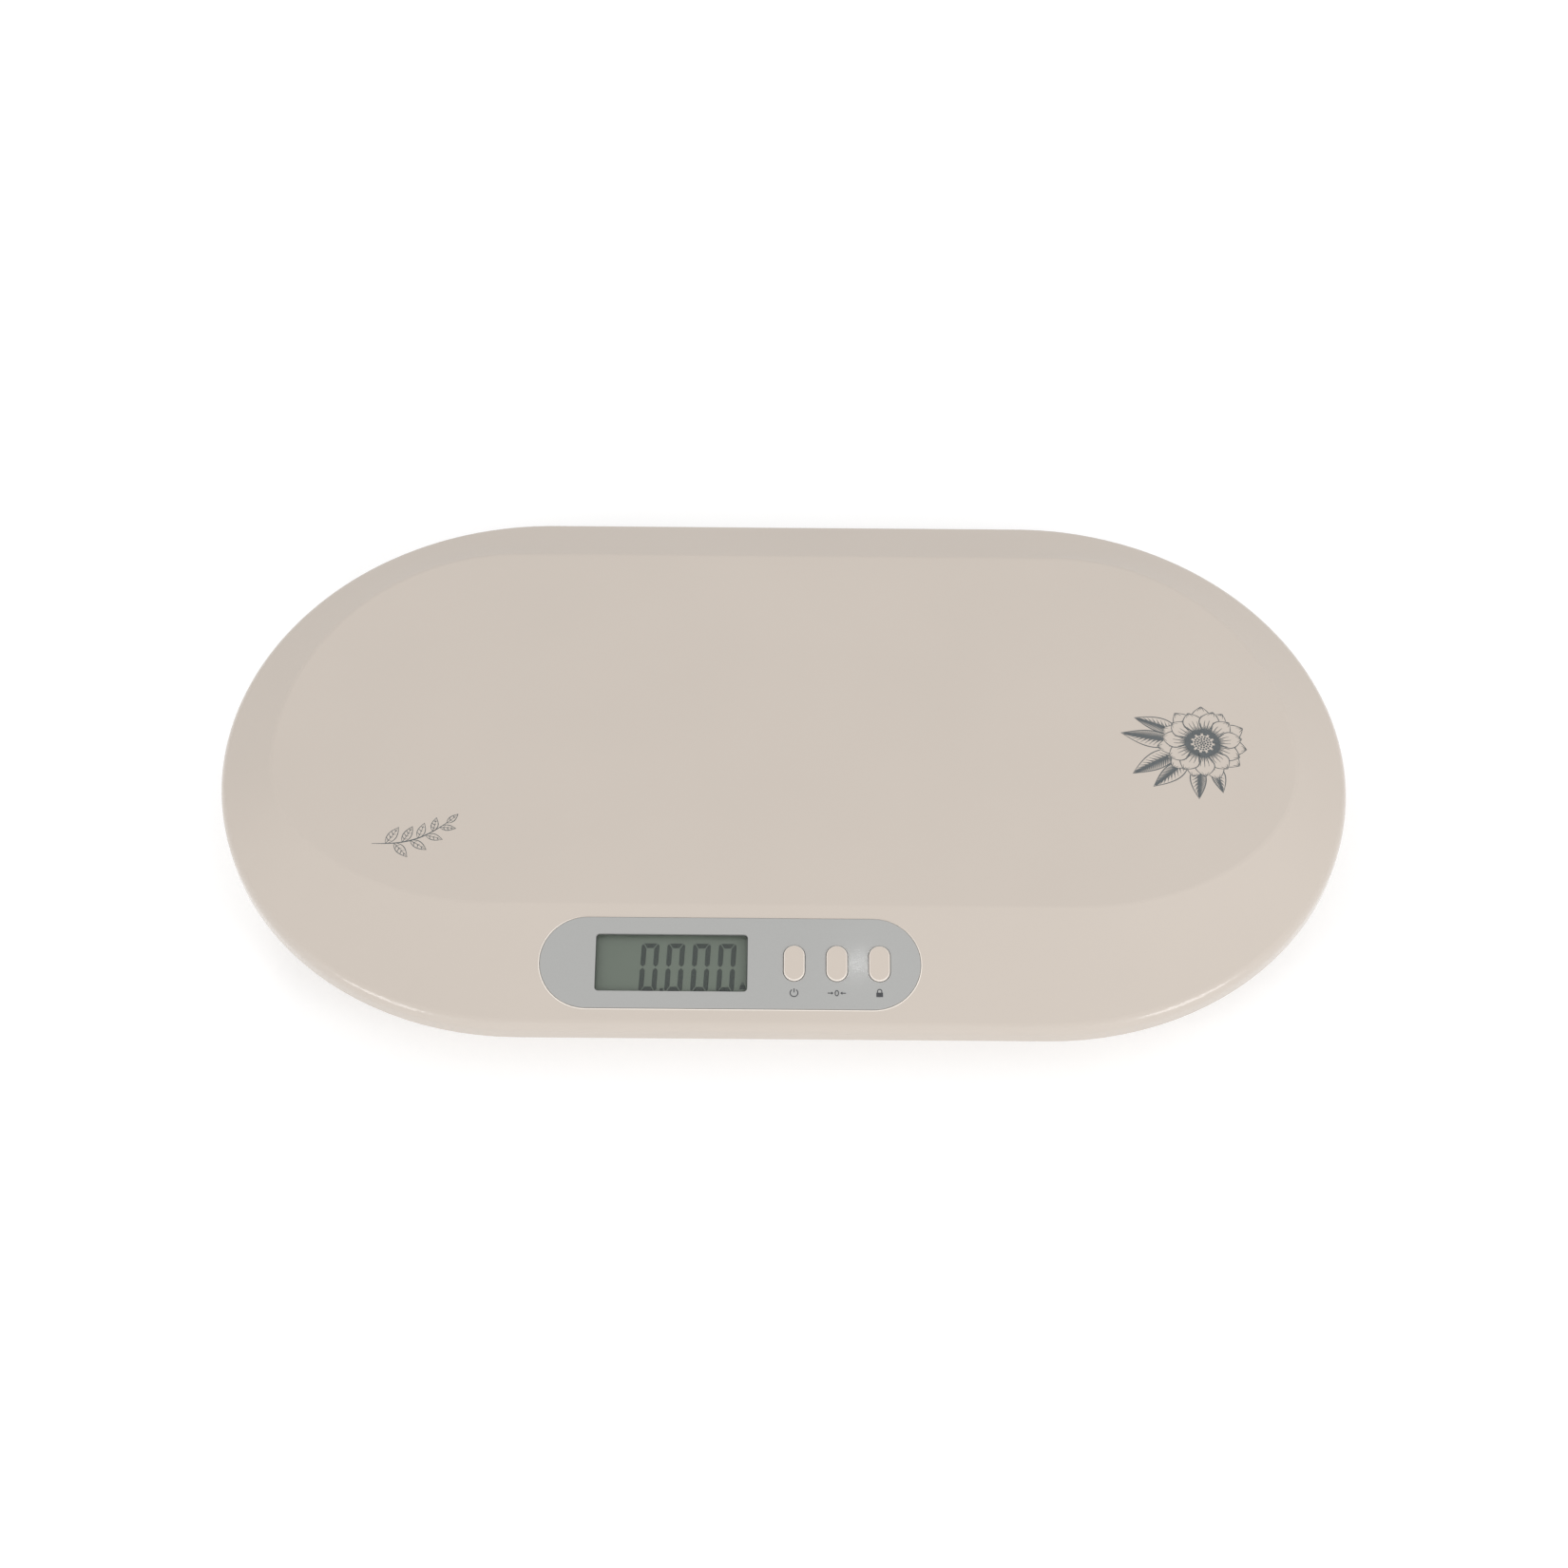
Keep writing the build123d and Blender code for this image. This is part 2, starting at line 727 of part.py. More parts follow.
with BuildPart() as contact_plates:
    for y, facing in zip(battery_ys, battery_facing):
        wall_face = Plane((facing * box_inside_x / 2, y, battery_z), x_dir=(0, 1, 0), z_dir=(-facing, 0, 0))
        with BuildSketch(wall_face):
            Rectangle(contact_width, contact_height)
        extrude(amount=contact_thickness)
        with BuildSketch(wall_face.offset(contact_thickness)):
            Circle(contact_bump_radius)
        extrude(amount=contact_bump_height)
save(contact_plates.part, "contact_plates")

with BuildPart() as spring_plates:
    for y, facing in zip(battery_ys, battery_facing):
        wall_face = Plane((-facing * box_inside_x / 2, y, battery_z), x_dir=(0, 1, 0), z_dir=(facing, 0, 0))
        with BuildSketch(wall_face):
            Rectangle(contact_width, contact_height)
        extrude(amount=contact_thickness)
save(spring_plates.part, "spring_plates")

coil_rise = spring_length - 2 * (spring_wire + spring_clearance)
coil_start_x = box_inside_x / 2 - contact_thickness - spring_wire - spring_clearance
with BuildPart() as coil:
    with BuildLine() as turns:
        Helix(
            coil_rise / spring_turns,
            coil_rise,
            spring_base_radius,
            direction=(1, 0, 0),
            cone_angle=spring_cone,
        )
    with BuildSketch(Plane(origin=turns.line @ 0, z_dir=turns.line % 0)):
        Circle(spring_wire)
    sweep(is_frenet=True)
with BuildPart() as contact_springs:
    for y, facing in zip(battery_ys, battery_facing):
        half_turn = 0 if facing > 0 else 180
        with Locations(Location((-facing * coil_start_x, y, battery_z), (0, 0, half_turn))):
            add(coil.part)
save(contact_springs.part, "contact_springs")


# ---------------------------------------------------------------- feet and load cells

for corner, (x, y) in feet.items():
    inward = -1 if x > 0 else 1

    with BuildPart() as foot_pad:
        with BuildSketch(Plane((x, y, 0))):
            Circle(pad_radius)
        extrude(amount=pad_height)
        chamfer(foot_pad.edges().group_by(Axis.Z)[0], pad_edge)
    save(foot_pad.part, f"foot_pad_{corner}")

    with BuildPart() as foot_carrier:
        with BuildSketch(Plane((x, y, carrier_z))):
            Circle(carrier_radius)
        extrude(amount=carrier_thickness)
        fillet(foot_carrier.edges().group_by(Axis.Z)[-1], carrier_edge)
        with BuildSketch(Plane((x, y, carrier_z))):
            Circle(post_radius)
        extrude(amount=cell_z - carrier_z)
        with BuildSketch(Plane((x, y, floor_top_z + lip_gap))):
            Circle(post_radius + post_gap + lip_overhang)
        extrude(amount=lip_height)
        with BuildSketch(Plane((x, y, carrier_z))):
            Circle(pad_radius + pad_gap)
        extrude(amount=pad_seat, mode=Mode.SUBTRACT)
    save(foot_carrier.part, f"foot_carrier_{corner}")

    # local x points to the middle of the tray, where the tongue joins the frame
    cell_plane = Plane(origin=(x, y, cell_z), x_dir=(inward, 0, 0), z_dir=(0, 0, 1))
    with BuildPart() as load_cell:
        with BuildSketch(cell_plane):
            RectangleRounded(cell_size, cell_size, cell_corner)
            with Locations((-tongue_slot / 2, 0)):
                Rectangle(tongue_length + tongue_slot, tongue_width + 2 * tongue_slot, mode=Mode.SUBTRACT)
            Rectangle(tongue_length, tongue_width)
        extrude(amount=cell_thickness)
    save(load_cell.part, f"load_cell_{corner}")

    top_plane = cell_plane.offset(cell_thickness)
    with BuildPart() as gauge_cover:
        with BuildSketch(top_plane):
            with Locations((tongue_length / 2 - gauge_inset - gauge_length / 2, 0)):
                Rectangle(gauge_length, gauge_width)
        extrude(amount=gauge_height)
    save(gauge_cover.part, f"gauge_cover_{corner}")

    with BuildPart() as cell_retainer:
        with BuildSketch(top_plane):
            Rectangle(well_outside, well_outside)
            Rectangle(2 * ear_radius, 2 * ear_y)
            with Locations((0, -ear_y), (0, ear_y)):
                Circle(ear_radius)
            Rectangle(retainer_opening, retainer_opening, mode=Mode.SUBTRACT)
            with Locations((well_outside / 2, 0)):
                Rectangle(well_outside, retainer_notch, mode=Mode.SUBTRACT)
            with Locations((0, -ear_y), (0, ear_y)):
                Circle(retainer_screw_shank + screw_hole_gap, mode=Mode.SUBTRACT)
        extrude(amount=retainer_thickness)
    save(cell_retainer.part, f"cell_retainer_{corner}")

retainer_seat = Plane(
    origin=(0, 0, cell_top_z + retainer_thickness), x_dir=(1, 0, 0), z_dir=(0, 0, -1)
)
retainer_points = []
for x, y in feet.values():
    retainer_points += [(x, -y - ear_y), (x, -y + ear_y)]
retainer_screws = screws(
    retainer_seat,
    retainer_points,
    retainer_screw_shank,
    retainer_screw_length,
    retainer_screw_head,
    retainer_screw_head_height,
)
save(retainer_screws, "retainer_screws")

cover_screws = screws(
    Plane.XY.offset(screw_seat_z),
    cover_screw_points,
    cover_screw_shank,
    cover_screw_length,
    cover_screw_head,
    cover_screw_head_height,
)
save(cover_screws, "cover_screws")


# ---------------------------------------------------------------- display panel and glass

with BuildPart() as display_panel:
    with BuildSketch(panel_plane.offset(recess_floor)):
        SlotOverall(panel_length, panel_width)
        with Locations((window_x, 0)):
            RectangleRounded(window_length, window_width, window_round, mode=Mode.SUBTRACT)
        with Locations(*[(x, 0) for x in button_x]):
            SlotOverall(
                button_height + 2 * button_gap,
                button_width + 2 * button_gap,
                rotation=90,
                mode=Mode.SUBTRACT,
            )
    extrude(amount=panel_thickness)
    panel_top = display_panel.faces().sort_by(panel_axis)[-1]
    fillet(panel_top.outer_wire().edges(), panel_edge_round)
save(display_panel.part, "display_panel")

with BuildPart() as display_lens:
    with BuildSketch(panel_plane.offset(lens_back)):
        with Locations((window_x, 0)):
            RectangleRounded(
                window_length + 2 * lens_margin, window_width + 2 * lens_margin, window_round
            )
    extrude(amount=lens_thickness)
save(display_lens.part, "display_lens")

with BuildPart() as display_gasket:
    with BuildSketch(panel_plane.offset(glass_front)):
        with Locations((window_x, 0)):
            Rectangle(glass_length, glass_width)
            Rectangle(
                window_length + 2 * sill_margin, window_width + 2 * sill_margin, mode=Mode.SUBTRACT
            )
    extrude(amount=gasket_thickness)
save(display_gasket.part, "display_gasket")

with BuildPart() as lcd_glass:
    with BuildSketch(panel_plane.offset(glass_step)):
        with Locations((window_x, 0)):
            Rectangle(glass_length, glass_width)
    extrude(amount=glass_plate)
    with BuildSketch(panel_plane.offset(glass_back)):
        with Locations((window_x, glass_ledge / 2)):
            Rectangle(glass_length, glass_width - glass_ledge)
    extrude(amount=glass_plate)
save(lcd_glass.part, "lcd_glass")

with BuildPart() as lcd_reflector:
    with BuildSketch(panel_plane.offset(reflector_back)):
        with Locations((window_x, glass_ledge / 2)):
            Rectangle(
                glass_length - 2 * reflector_margin, glass_width - glass_ledge - 2 * reflector_margin
            )
    extrude(amount=reflector_thickness)
save(lcd_reflector.part, "lcd_reflector")

# the conductive strip stands on the board under the ledge of the front glass
strip_length = glass_length - 2 * strip_end_margin
strip_y = -glass_width / 2 + glass_ledge / 2
with BuildPart() as lcd_holder:
    with BuildSketch(panel_plane.offset(board_top)):
        with Locations((window_x, 0)):
            Rectangle(holder_length, holder_width)
            Rectangle(
                window_length - 2 * holder_window_margin,
                window_width - 2 * holder_window_margin,
                mode=Mode.SUBTRACT,
            )
        with Locations((window_x, strip_y)):
            Rectangle(
                strip_length + 2 * strip_gap, strip_width + 2 * strip_gap, mode=Mode.SUBTRACT
            )
    extrude(amount=reflector_back - board_top)
    with BuildSketch(panel_plane.offset(reflector_back)):
        with Locations((window_x, 0)):
            Rectangle(holder_length, holder_width)
            Rectangle(
                glass_length + 2 * holder_gap, glass_width + 2 * holder_gap, mode=Mode.SUBTRACT
            )
    extrude(amount=holder_reach)
save(lcd_holder.part, "lcd_holder")

with BuildPart() as lcd_connector_strip:
    with BuildSketch(panel_plane.offset(board_top)):
        with Locations((window_x, strip_y)):
            Rectangle(strip_length, strip_width)
    extrude(amount=glass_step - board_top)
save(lcd_connector_strip.part, "lcd_connector_strip")


# ---------------------------------------------------------------- buttons and switches

for name, x in zip(button_names, button_x):
    with BuildPart() as button:
        with BuildSketch(panel_plane.offset(flange_bottom)):
            with Locations((x, 0)):
                SlotOverall(
                    button_height + 2 * flange_margin, button_width + 2 * flange_margin, rotation=90
                )
        extrude(amount=flange_thickness)
        with BuildSketch(panel_plane.offset(flange_top)):
            with Locations((x, 0)):
                SlotOverall(button_height, button_width, rotation=90)
        extrude(amount=panel_proud + button_proud - flange_top)
        button_face = button.faces().sort_by(panel_axis)[-1]
        fillet(button_face.outer_wire().edges(), button_edge_round)
    save(button.part, f"{name}_button")

    with BuildPart() as switch:
        with BuildSketch(panel_plane.offset(board_top)):
            with Locations((x, 0)):
                Rectangle(switch_size, switch_size)
        extrude(amount=switch_height)
        with BuildSketch(panel_plane.offset(switch_top)):
            with Locations((x, 0)):
                Circle(plunger_radius + plunger_gap)
        extrude(amount=-(plunger_depth + button_travel + plunger_spare), mode=Mode.SUBTRACT)
    save(switch.part, f"{name}_switch")

    with BuildPart() as plunger:
        with BuildSketch(panel_plane.offset(switch_top - plunger_depth)):
            with Locations((x, 0)):
                Circle(plunger_radius)
        extrude(amount=plunger_depth + plunger_rise)
    save(plunger.part, f"{name}_plunger")


# ---------------------------------------------------------------- circuit board

board_screw_points = [
    (board_middle + sx * board_screw_x, sy * board_screw_y) for sx in (-1, 1) for sy in (-1, 1)
]
with BuildPart() as circuit_board:
    with BuildSketch(panel_plane.offset(board_bottom)):
        with Locations((board_middle, 0)):
            Rectangle(board_length, board_width)
        with Locations(*board_screw_points):
            Circle(board_screw_shank + screw_hole_gap, mode=Mode.SUBTRACT)
    extrude(amount=board_thickness)
save(circuit_board.part, "circuit_board")

board_screws = screws(
    panel_plane.offset(board_bottom),
    board_screw_points,
    board_screw_shank,
    board_screw_length,
    board_screw_head,
    board_screw_head_height,
)
save(board_screws, "board_screws")

with BuildPart() as controller_chip:
    with BuildSketch(panel_plane.offset(board_bottom)):
        with Locations((chip_x, chip_y)):
            Circle(chip_radius)
    extrude(amount=-chip_height)
    fillet(controller_chip.edges().sort_by(panel_axis)[0], chip_round)
save(controller_chip.part, "controller_chip")

with BuildPart() as board_capacitors:
    with BuildSketch(panel_plane.offset(board_bottom)):
        with Locations((capacitor_x, capacitor_y), (capacitor_x + capacitor_pitch, capacitor_y)):
            Circle(capacitor_radius)
    extrude(amount=-capacitor_height)
save(board_capacitors.part, "board_capacitors")

with BuildPart() as board_crystal:
    with BuildSketch(panel_plane.offset(board_bottom)):
        with Locations((crystal_x, crystal_y)):
            SlotOverall(crystal_length, crystal_width)
    extrude(amount=-crystal_height)
save(board_crystal.part, "board_crystal")

with BuildPart() as lead_headers:
    with BuildSketch(panel_plane.offset(board_bottom)):
        with Locations(*[(x, header_y) for x in header_x.values()]):
            Rectangle(header_length, header_depth)
    extrude(amount=-header_height)
save(lead_headers.part, "lead_headers")


# ---------------------------------------------------------------- leads


def header_port(header, reach):
    """Point straight out of a header's mouth, a reach away from it."""
    local = (header_x[header], header_y + header_depth / 2 + reach, board_bottom - header_height / 2)
    return panel_plane.from_local_coords(local)


def cell_port(corner, reach):
    """Point straight out of a gauge cover's inner end, a reach away from it."""
    x, y = feet[corner]
    inward = -1 if x > 0 else 1
    out = tongue_length / 2 - gauge_inset + reach
    return Vector(x + inward * out, y, cell_top_z + lead_radius + lead_exit_lift)


lead_routes = {
    "front_left": [(-120, -76, 19.5), (-103, -68, 25), (-90, -68, 30.5), (-83.5, -79, 35)],
    "back_left": [(-116, 66, 18.5), (-96, 28, 19.5), (-84, -16, 21.5), (-75, -60, 27.5)],
    "front_right": [
        (114, -79, 18.5),
        (90, -76, 21),
        (67, -71, 25.5),
        (47, -66, 30.5),
        (33.5, -70, 34),
        (28, -81.5, 36),
    ],
    "back_right": [(118, 66, 18.5), (94, 30, 19.5), (66, -8, 21.5), (36, -48, 26.5)],
}
for corner, middle in lead_routes.items():
    route_points = [cell_port(corner, 0), cell_port(corner, port_reach)]
    route_points += [Vector(*point) for point in middle]
    route_points += [header_port(corner, header_reach), header_port(corner, 0)]
    cell_lead = lead(route_points)
    save(cell_lead, f"cell_lead_{corner}")
    print("cell lead", corner, [round(r, 1) for r in bend_radii(route_points)])

battery_port = Vector(battery_port_x, battery_y - box_outside_y / 2, battery_z)
battery_route = [
    battery_port,
    battery_port + Vector(0, -port_reach, 0),
    Vector(-22, -48, 20),
    Vector(-30, -76, 28.5),
    header_port("battery", header_reach),
    header_port("battery", 0),
]
battery_lead = lead(battery_route)
save(battery_lead, "battery_lead")
print("battery lead", [round(r, 1) for r in bend_radii(battery_route)])
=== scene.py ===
import json
from itertools import cycle
from math import atan2, cos, degrees, pi, radians, sin

import bmesh
import bpy
from mathutils import Matrix, Vector


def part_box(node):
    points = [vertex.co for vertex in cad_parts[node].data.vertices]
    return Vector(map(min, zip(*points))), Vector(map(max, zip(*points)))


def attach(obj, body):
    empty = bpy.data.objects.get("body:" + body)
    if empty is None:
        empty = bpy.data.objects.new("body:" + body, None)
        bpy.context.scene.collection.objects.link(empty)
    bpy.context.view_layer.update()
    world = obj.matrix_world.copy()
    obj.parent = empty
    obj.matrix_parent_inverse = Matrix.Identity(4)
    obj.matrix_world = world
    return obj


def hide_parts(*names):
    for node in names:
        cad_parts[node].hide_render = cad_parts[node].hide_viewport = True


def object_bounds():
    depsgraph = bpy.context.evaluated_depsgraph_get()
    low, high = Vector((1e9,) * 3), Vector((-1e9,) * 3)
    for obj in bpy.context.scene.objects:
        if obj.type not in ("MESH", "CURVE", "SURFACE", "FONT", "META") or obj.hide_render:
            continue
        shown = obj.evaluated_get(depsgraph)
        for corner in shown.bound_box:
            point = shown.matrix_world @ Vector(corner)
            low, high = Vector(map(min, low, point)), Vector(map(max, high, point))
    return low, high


# Looks of the digital baby weighing scale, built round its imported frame. All lengths are metres in
# the frame's axes: +X along the tray, -Y the side with the display, +Z up, the table at zero.

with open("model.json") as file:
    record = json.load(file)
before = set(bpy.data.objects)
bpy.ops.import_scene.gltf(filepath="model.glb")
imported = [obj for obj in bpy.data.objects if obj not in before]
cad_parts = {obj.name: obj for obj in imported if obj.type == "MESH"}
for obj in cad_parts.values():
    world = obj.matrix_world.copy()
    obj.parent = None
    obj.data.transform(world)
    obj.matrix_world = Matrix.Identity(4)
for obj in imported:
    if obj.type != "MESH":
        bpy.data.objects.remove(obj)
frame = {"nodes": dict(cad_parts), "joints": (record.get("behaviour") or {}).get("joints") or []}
cad_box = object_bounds()
nodes = frame["nodes"]

MM = 0.001


# ---------------------------------------------------------------- camera

IMAGE_SIZE = 1650
FOCAL_PIXELS = 2796.0
SENSOR_WIDTH = 36.0
CAMERA_ELEVATION = radians(54.0)
CAMERA_TURN = radians(0.04)
CAMERA_ROLL = radians(0.42)
CAMERA_DISTANCE = 1.3159
AIM = Vector((0.0001, 0.0123, 0.0))


def make_camera():
    """Camera at the photograph's viewing angle."""
    data = bpy.data.cameras.new("camera")
    data.sensor_width = SENSOR_WIDTH
    data.lens = FOCAL_PIXELS / IMAGE_SIZE * SENSOR_WIDTH
    level = cos(CAMERA_ELEVATION)
    back = Vector((sin(CAMERA_TURN) * level, -cos(CAMERA_TURN) * level, sin(CAMERA_ELEVATION)))
    right = (-back).cross(Vector((0, 0, 1))).normalized()
    up = back.cross(right)
    rolled_right = right * cos(CAMERA_ROLL) + up * sin(CAMERA_ROLL)
    rolled_up = up * cos(CAMERA_ROLL) - right * sin(CAMERA_ROLL)
    turned = Matrix((rolled_right, rolled_up, back)).transposed().to_4x4()
    camera = bpy.data.objects.new("camera", data)
    camera.matrix_world = Matrix.Translation(AIM + back * CAMERA_DISTANCE) @ turned
    bpy.context.scene.collection.objects.link(camera)
    bpy.context.scene.camera = camera


make_camera()


# ---------------------------------------------------------------- places on the object


def middle(node):
    """Middle of a CAD node's box."""
    low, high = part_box(node)
    return (low + high) / 2


press_joint = next(joint for joint in frame["joints"] if joint["name"] == "power_press")
PANEL_OUT = -Vector(press_joint["axis"]).normalized()
PANEL_RIGHT = Vector((1, 0, 0))
PANEL_UP = PANEL_OUT.cross(PANEL_RIGHT)
PANEL_ORIGIN = middle("display_lens")
PANEL_ORIGIN.x = middle("display_panel").x
PLATEAU_Z = cad_box[1].z


def reach(node, direction):
    """How far a node reaches from the panel's origin in a direction."""
    return max((v.co - PANEL_ORIGIN).dot(direction) for v in nodes[node].data.vertices)


def panel_place(height):
    """Place on a plane beside the panel: x along the tray, y up the slope, rise off the plane."""

    def place(x, y, rise):
        return PANEL_ORIGIN + PANEL_RIGHT * x + PANEL_UP * y + PANEL_OUT * (height + rise)

    return place


def plateau_place(x, y, rise):
    """Place on the flat top of the tray."""
    return Vector((x, y, PLATEAU_Z + rise))


on_panel = panel_place(reach("display_panel", PANEL_OUT))
on_glass = panel_place(reach("lcd_glass", PANEL_OUT))
on_lens = panel_place(reach("display_lens", PANEL_OUT))


# ---------------------------------------------------------------- thin printed shapes

PRINT_RISE = 0.02 * MM
PRINT_SINK = 0.02 * MM
PRINT_STEP = 0.001 * MM

# strokes drawn one after another take turns at these layers, so none that cross share one plane
print_layers = cycle(range(61))


def next_rise():
    """Height of the next stroke's top above what it is printed on."""
    return PRINT_RISE + PRINT_STEP * next(print_layers)


def add_plate(mesh, outline, place):
    """Closed thin plate with an outline that runs anticlockwise."""
    rise = next_rise()
    bottom = [mesh.verts.new(place(x, y, -PRINT_SINK)) for x, y in outline]
    top = [mesh.verts.new(place(x, y, rise)) for x, y in outline]
    mesh.faces.new(top)
    mesh.faces.new(bottom[::-1])
    for i in range(len(outline)):
        j = (i + 1) % len(outline)
        mesh.faces.new((bottom[i], bottom[j], top[j], top[i]))


def add_stroke(mesh, path, widths, place, closed=False):
    """Thin closed stroke of a pen along a path, as wide at each point as widths says."""
    count = len(path)
    rise = next_rise()
    rings = []
    for i in range(count):
        if closed:
            ahead = path[(i + 1) % count]
            behind = path[i - 1]
        else:
            ahead = path[min(i + 1, count - 1)]
            behind = path[max(i - 1, 0)]
        along = (Vector(ahead) - Vector(behind)).normalized()
        side = Vector((-along.y, along.x)) * widths[i] / 2
        left = Vector(path[i]) + side
        right = Vector(path[i]) - side
        rings.append(
            (
                mesh.verts.new(place(right.x, right.y, -PRINT_SINK)),
                mesh.verts.new(place(right.x, right.y, rise)),
                mesh.verts.new(place(left.x, left.y, rise)),
                mesh.verts.new(place(left.x, left.y, -PRINT_SINK)),
            )
        )
    for i in range(count if closed else count - 1):
        here = rings[i]
        after = rings[(i + 1) % count]
        for k in range(4):
            m = (k + 1) % 4
            mesh.faces.new((here[k], after[k], after[m], here[m]))
    if not closed:
        mesh.faces.new(rings[0])
        mesh.faces.new(rings[-1][::-1])


def arc(centre, radius, start, end, steps=24):
    """Points of an arc between two angles in degrees."""
    angles = [radians(start + (end - start) * i / steps) for i in range(steps + 1)]
    return [(centre[0] + radius * cos(a), centre[1] + radius * sin(a)) for a in angles]


def circle(centre, radius, steps):
    """Points of a whole circle, anticlockwise, without repeating the first."""
    return arc(centre, radius, 0, 360, steps)[:-1]


def even(path, width):
    """One width for each point of a path."""
    return [width] * len(path)


def new_piece(name, mesh, body, material):
    """Turn a finished bmesh into a piece that rides on a body."""
    bmesh.ops.recalc_face_normals(mesh, faces=mesh.faces)
    data = bpy.data.meshes.new(name)
    mesh.to_mesh(data)
    mesh.free()
    data.materials.append(material)
    piece = bpy.data.objects.new(name, data)
    bpy.context.scene.collection.objects.link(piece)
    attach(piece, body)


# ---------------------------------------------------------------- materials

# the stretch of a noise's values that is spread over the whole of a drift
NOISE_LOW = 0.3
NOISE_HIGH = 0.7
DRIFT_DETAIL = 3.0
GRAIN_DETAIL = 2.0

# what all moulded plastic and rubber has in common
MOULD_PATCH = 0.06
MOULD_GLOSS_DRIFT = 0.025
MOULD_GLOSS_PATCH = 0.03
MOULD_GRAIN = 0.45 * MM
MOULD_DEPTH = 0.004 * MM


def from_srgb(red, green, blue):
    """Linear colour of three sRGB values out of 255."""
    levels = []
    for value in (red, green, blue):
        share = value / 255
        levels.append(share / 12.92 if share <= 0.04045 else ((share + 0.055) / 1.055) ** 2.4)
    return (*levels, 1.0)


def new_surface(name, **sockets):
    """Material with one Principled shader, whose sockets are named with _ for a space."""
    material = bpy.data.materials.new(f"{name}_finish")
    material.use_nodes = True
    shader = material.node_tree.nodes["Principled BSDF"]
    for socket, value in sockets.items():
        shader.inputs[socket.replace("_", " ")].default_value = value
    return material, material.node_tree, shader


def noise(tree, size, detail, stretch=(1, 1, 1)):
    """Noise with features of a size in metres, fixed to the object."""
    place = tree.nodes.new("ShaderNodeTexCoord")
    mapping = tree.nodes.new("ShaderNodeMapping")
    mapping.inputs["Scale"].default_value = stretch
    texture = tree.nodes.new("ShaderNodeTexNoise")
    texture.inputs["Scale"].default_value = 1 / size
    texture.inputs["Detail"].default_value = detail
    tree.links.new(place.outputs["Object"], mapping.inputs["Vector"])
    tree.links.new(mapping.outputs["Vector"], texture.inputs["Vector"])
    return texture.outputs["Fac"]


def ramp(tree, factor, stops):
    """Colour of a factor between stops, each a position and a colour."""
    node = tree.nodes.new("ShaderNodeValToRGB")
    elements = node.color_ramp.elements
    elements[0].position, elements[0].color = stops[0]
    elements[1].position, elements[1].color = stops[-1]
    for position, colour in stops[1:-1]:
        elements.new(position).color = colour
    tree.links.new(factor, node.inputs["Fac"])
    return node.outputs["Color"]


def scaled(colour, share):
    """Colour made lighter or darker by a share."""
    return (*[min(channel * share, 1.0) for channel in colour[:3]], 1.0)


def drifting(tree, patches, colour, amount):
    """Colour that drifts by an amount either way with the patches of a noise."""
    stops = [(NOISE_LOW, scaled(colour, 1 - amount)), (NOISE_HIGH, scaled(colour, 1 + amount))]
    return ramp(tree, patches, stops)


def vary_colour(tree, shader, colour, amount, size, stretch=(1, 1, 1)):
    """Base colour that drifts by an amount either way over patches of a size."""
    patches = noise(tree, size, DRIFT_DETAIL, stretch)
    tree.links.new(drifting(tree, patches, colour, amount), shader.inputs["Base Color"])


def vary_roughness(tree, shader, roughness, amount, size, stretch=(1, 1, 1)):
    """Roughness that drifts by an amount either way over patches of a size."""
    remap = tree.nodes.new("ShaderNodeMapRange")
    remap.inputs["From Min"].default_value = NOISE_LOW
    remap.inputs["From Max"].default_value = NOISE_HIGH
    remap.inputs["To Min"].default_value = max(roughness - amount, 0.02)
    remap.inputs["To Max"].default_value = min(roughness + amount, 1.0)
    tree.links.new(noise(tree, size, DRIFT_DETAIL, stretch), remap.inputs["Value"])
    tree.links.new(remap.outputs["Result"], shader.inputs["Roughness"])


def add_grain(tree, shader, size, depth, stretch=(1, 1, 1)):
    """Fine bumps of a size and depth in metres."""
    bump = tree.nodes.new("ShaderNodeBump")
    bump.inputs["Distance"].default_value = depth
    bump.inputs["Strength"].default_value = 1.0
    tree.links.new(noise(tree, size, GRAIN_DETAIL, stretch), bump.inputs["Height"])
    tree.links.new(bump.outputs["Normal"], shader.inputs["Normal"])


def add_mould_marks(tree, shader, roughness, grain=MOULD_GRAIN, depth=MOULD_DEPTH):
    """Faint drift in gloss and fine grain, as anything out of a mould has."""
    vary_roughness(tree, shader, roughness, MOULD_GLOSS_DRIFT, MOULD_GLOSS_PATCH)
    add_grain(tree, shader, grain, depth)


def moulded(name, colour, roughness, drift=0.012, grain=MOULD_GRAIN, depth=MOULD_DEPTH):
    """Moulded plastic or rubber: faint drift in colour and gloss, fine grain."""
    material, tree, shader = new_surface(name)
    vary_colour(tree, shader, colour, drift, MOULD_PATCH)
    add_mould_marks(tree, shader, roughness, grain, depth)
    return material


def metal(name, colour, roughness, brush=(1, 1, 1)):
    """Bare metal with fine marks, drawn out along the axis whose brush share is small."""
    material, tree, shader = new_surface(name, Metallic=1.0)
    vary_colour(tree, shader, colour, amount=0.05, size=4 * MM, stretch=brush)
    vary_roughness(tree, shader, roughness, amount=0.08, size=0.6 * MM, stretch=brush)
    add_grain(tree, shader, size=0.4 * MM, depth=0.003 * MM, stretch=brush)
    return material


def ink(name, colour, roughness=0.5):
    """Printed ink, a little uneven where it lies on the plastic's grain."""
    material, tree, shader = new_surface(name)
    vary_colour(tree, shader, colour, amount=0.12, size=1.2 * MM)
    vary_roughness(tree, shader, roughness, amount=0.06, size=2 * MM)
    add_grain(tree, shader, size=0.4 * MM, depth=0.004 * MM)
    return material


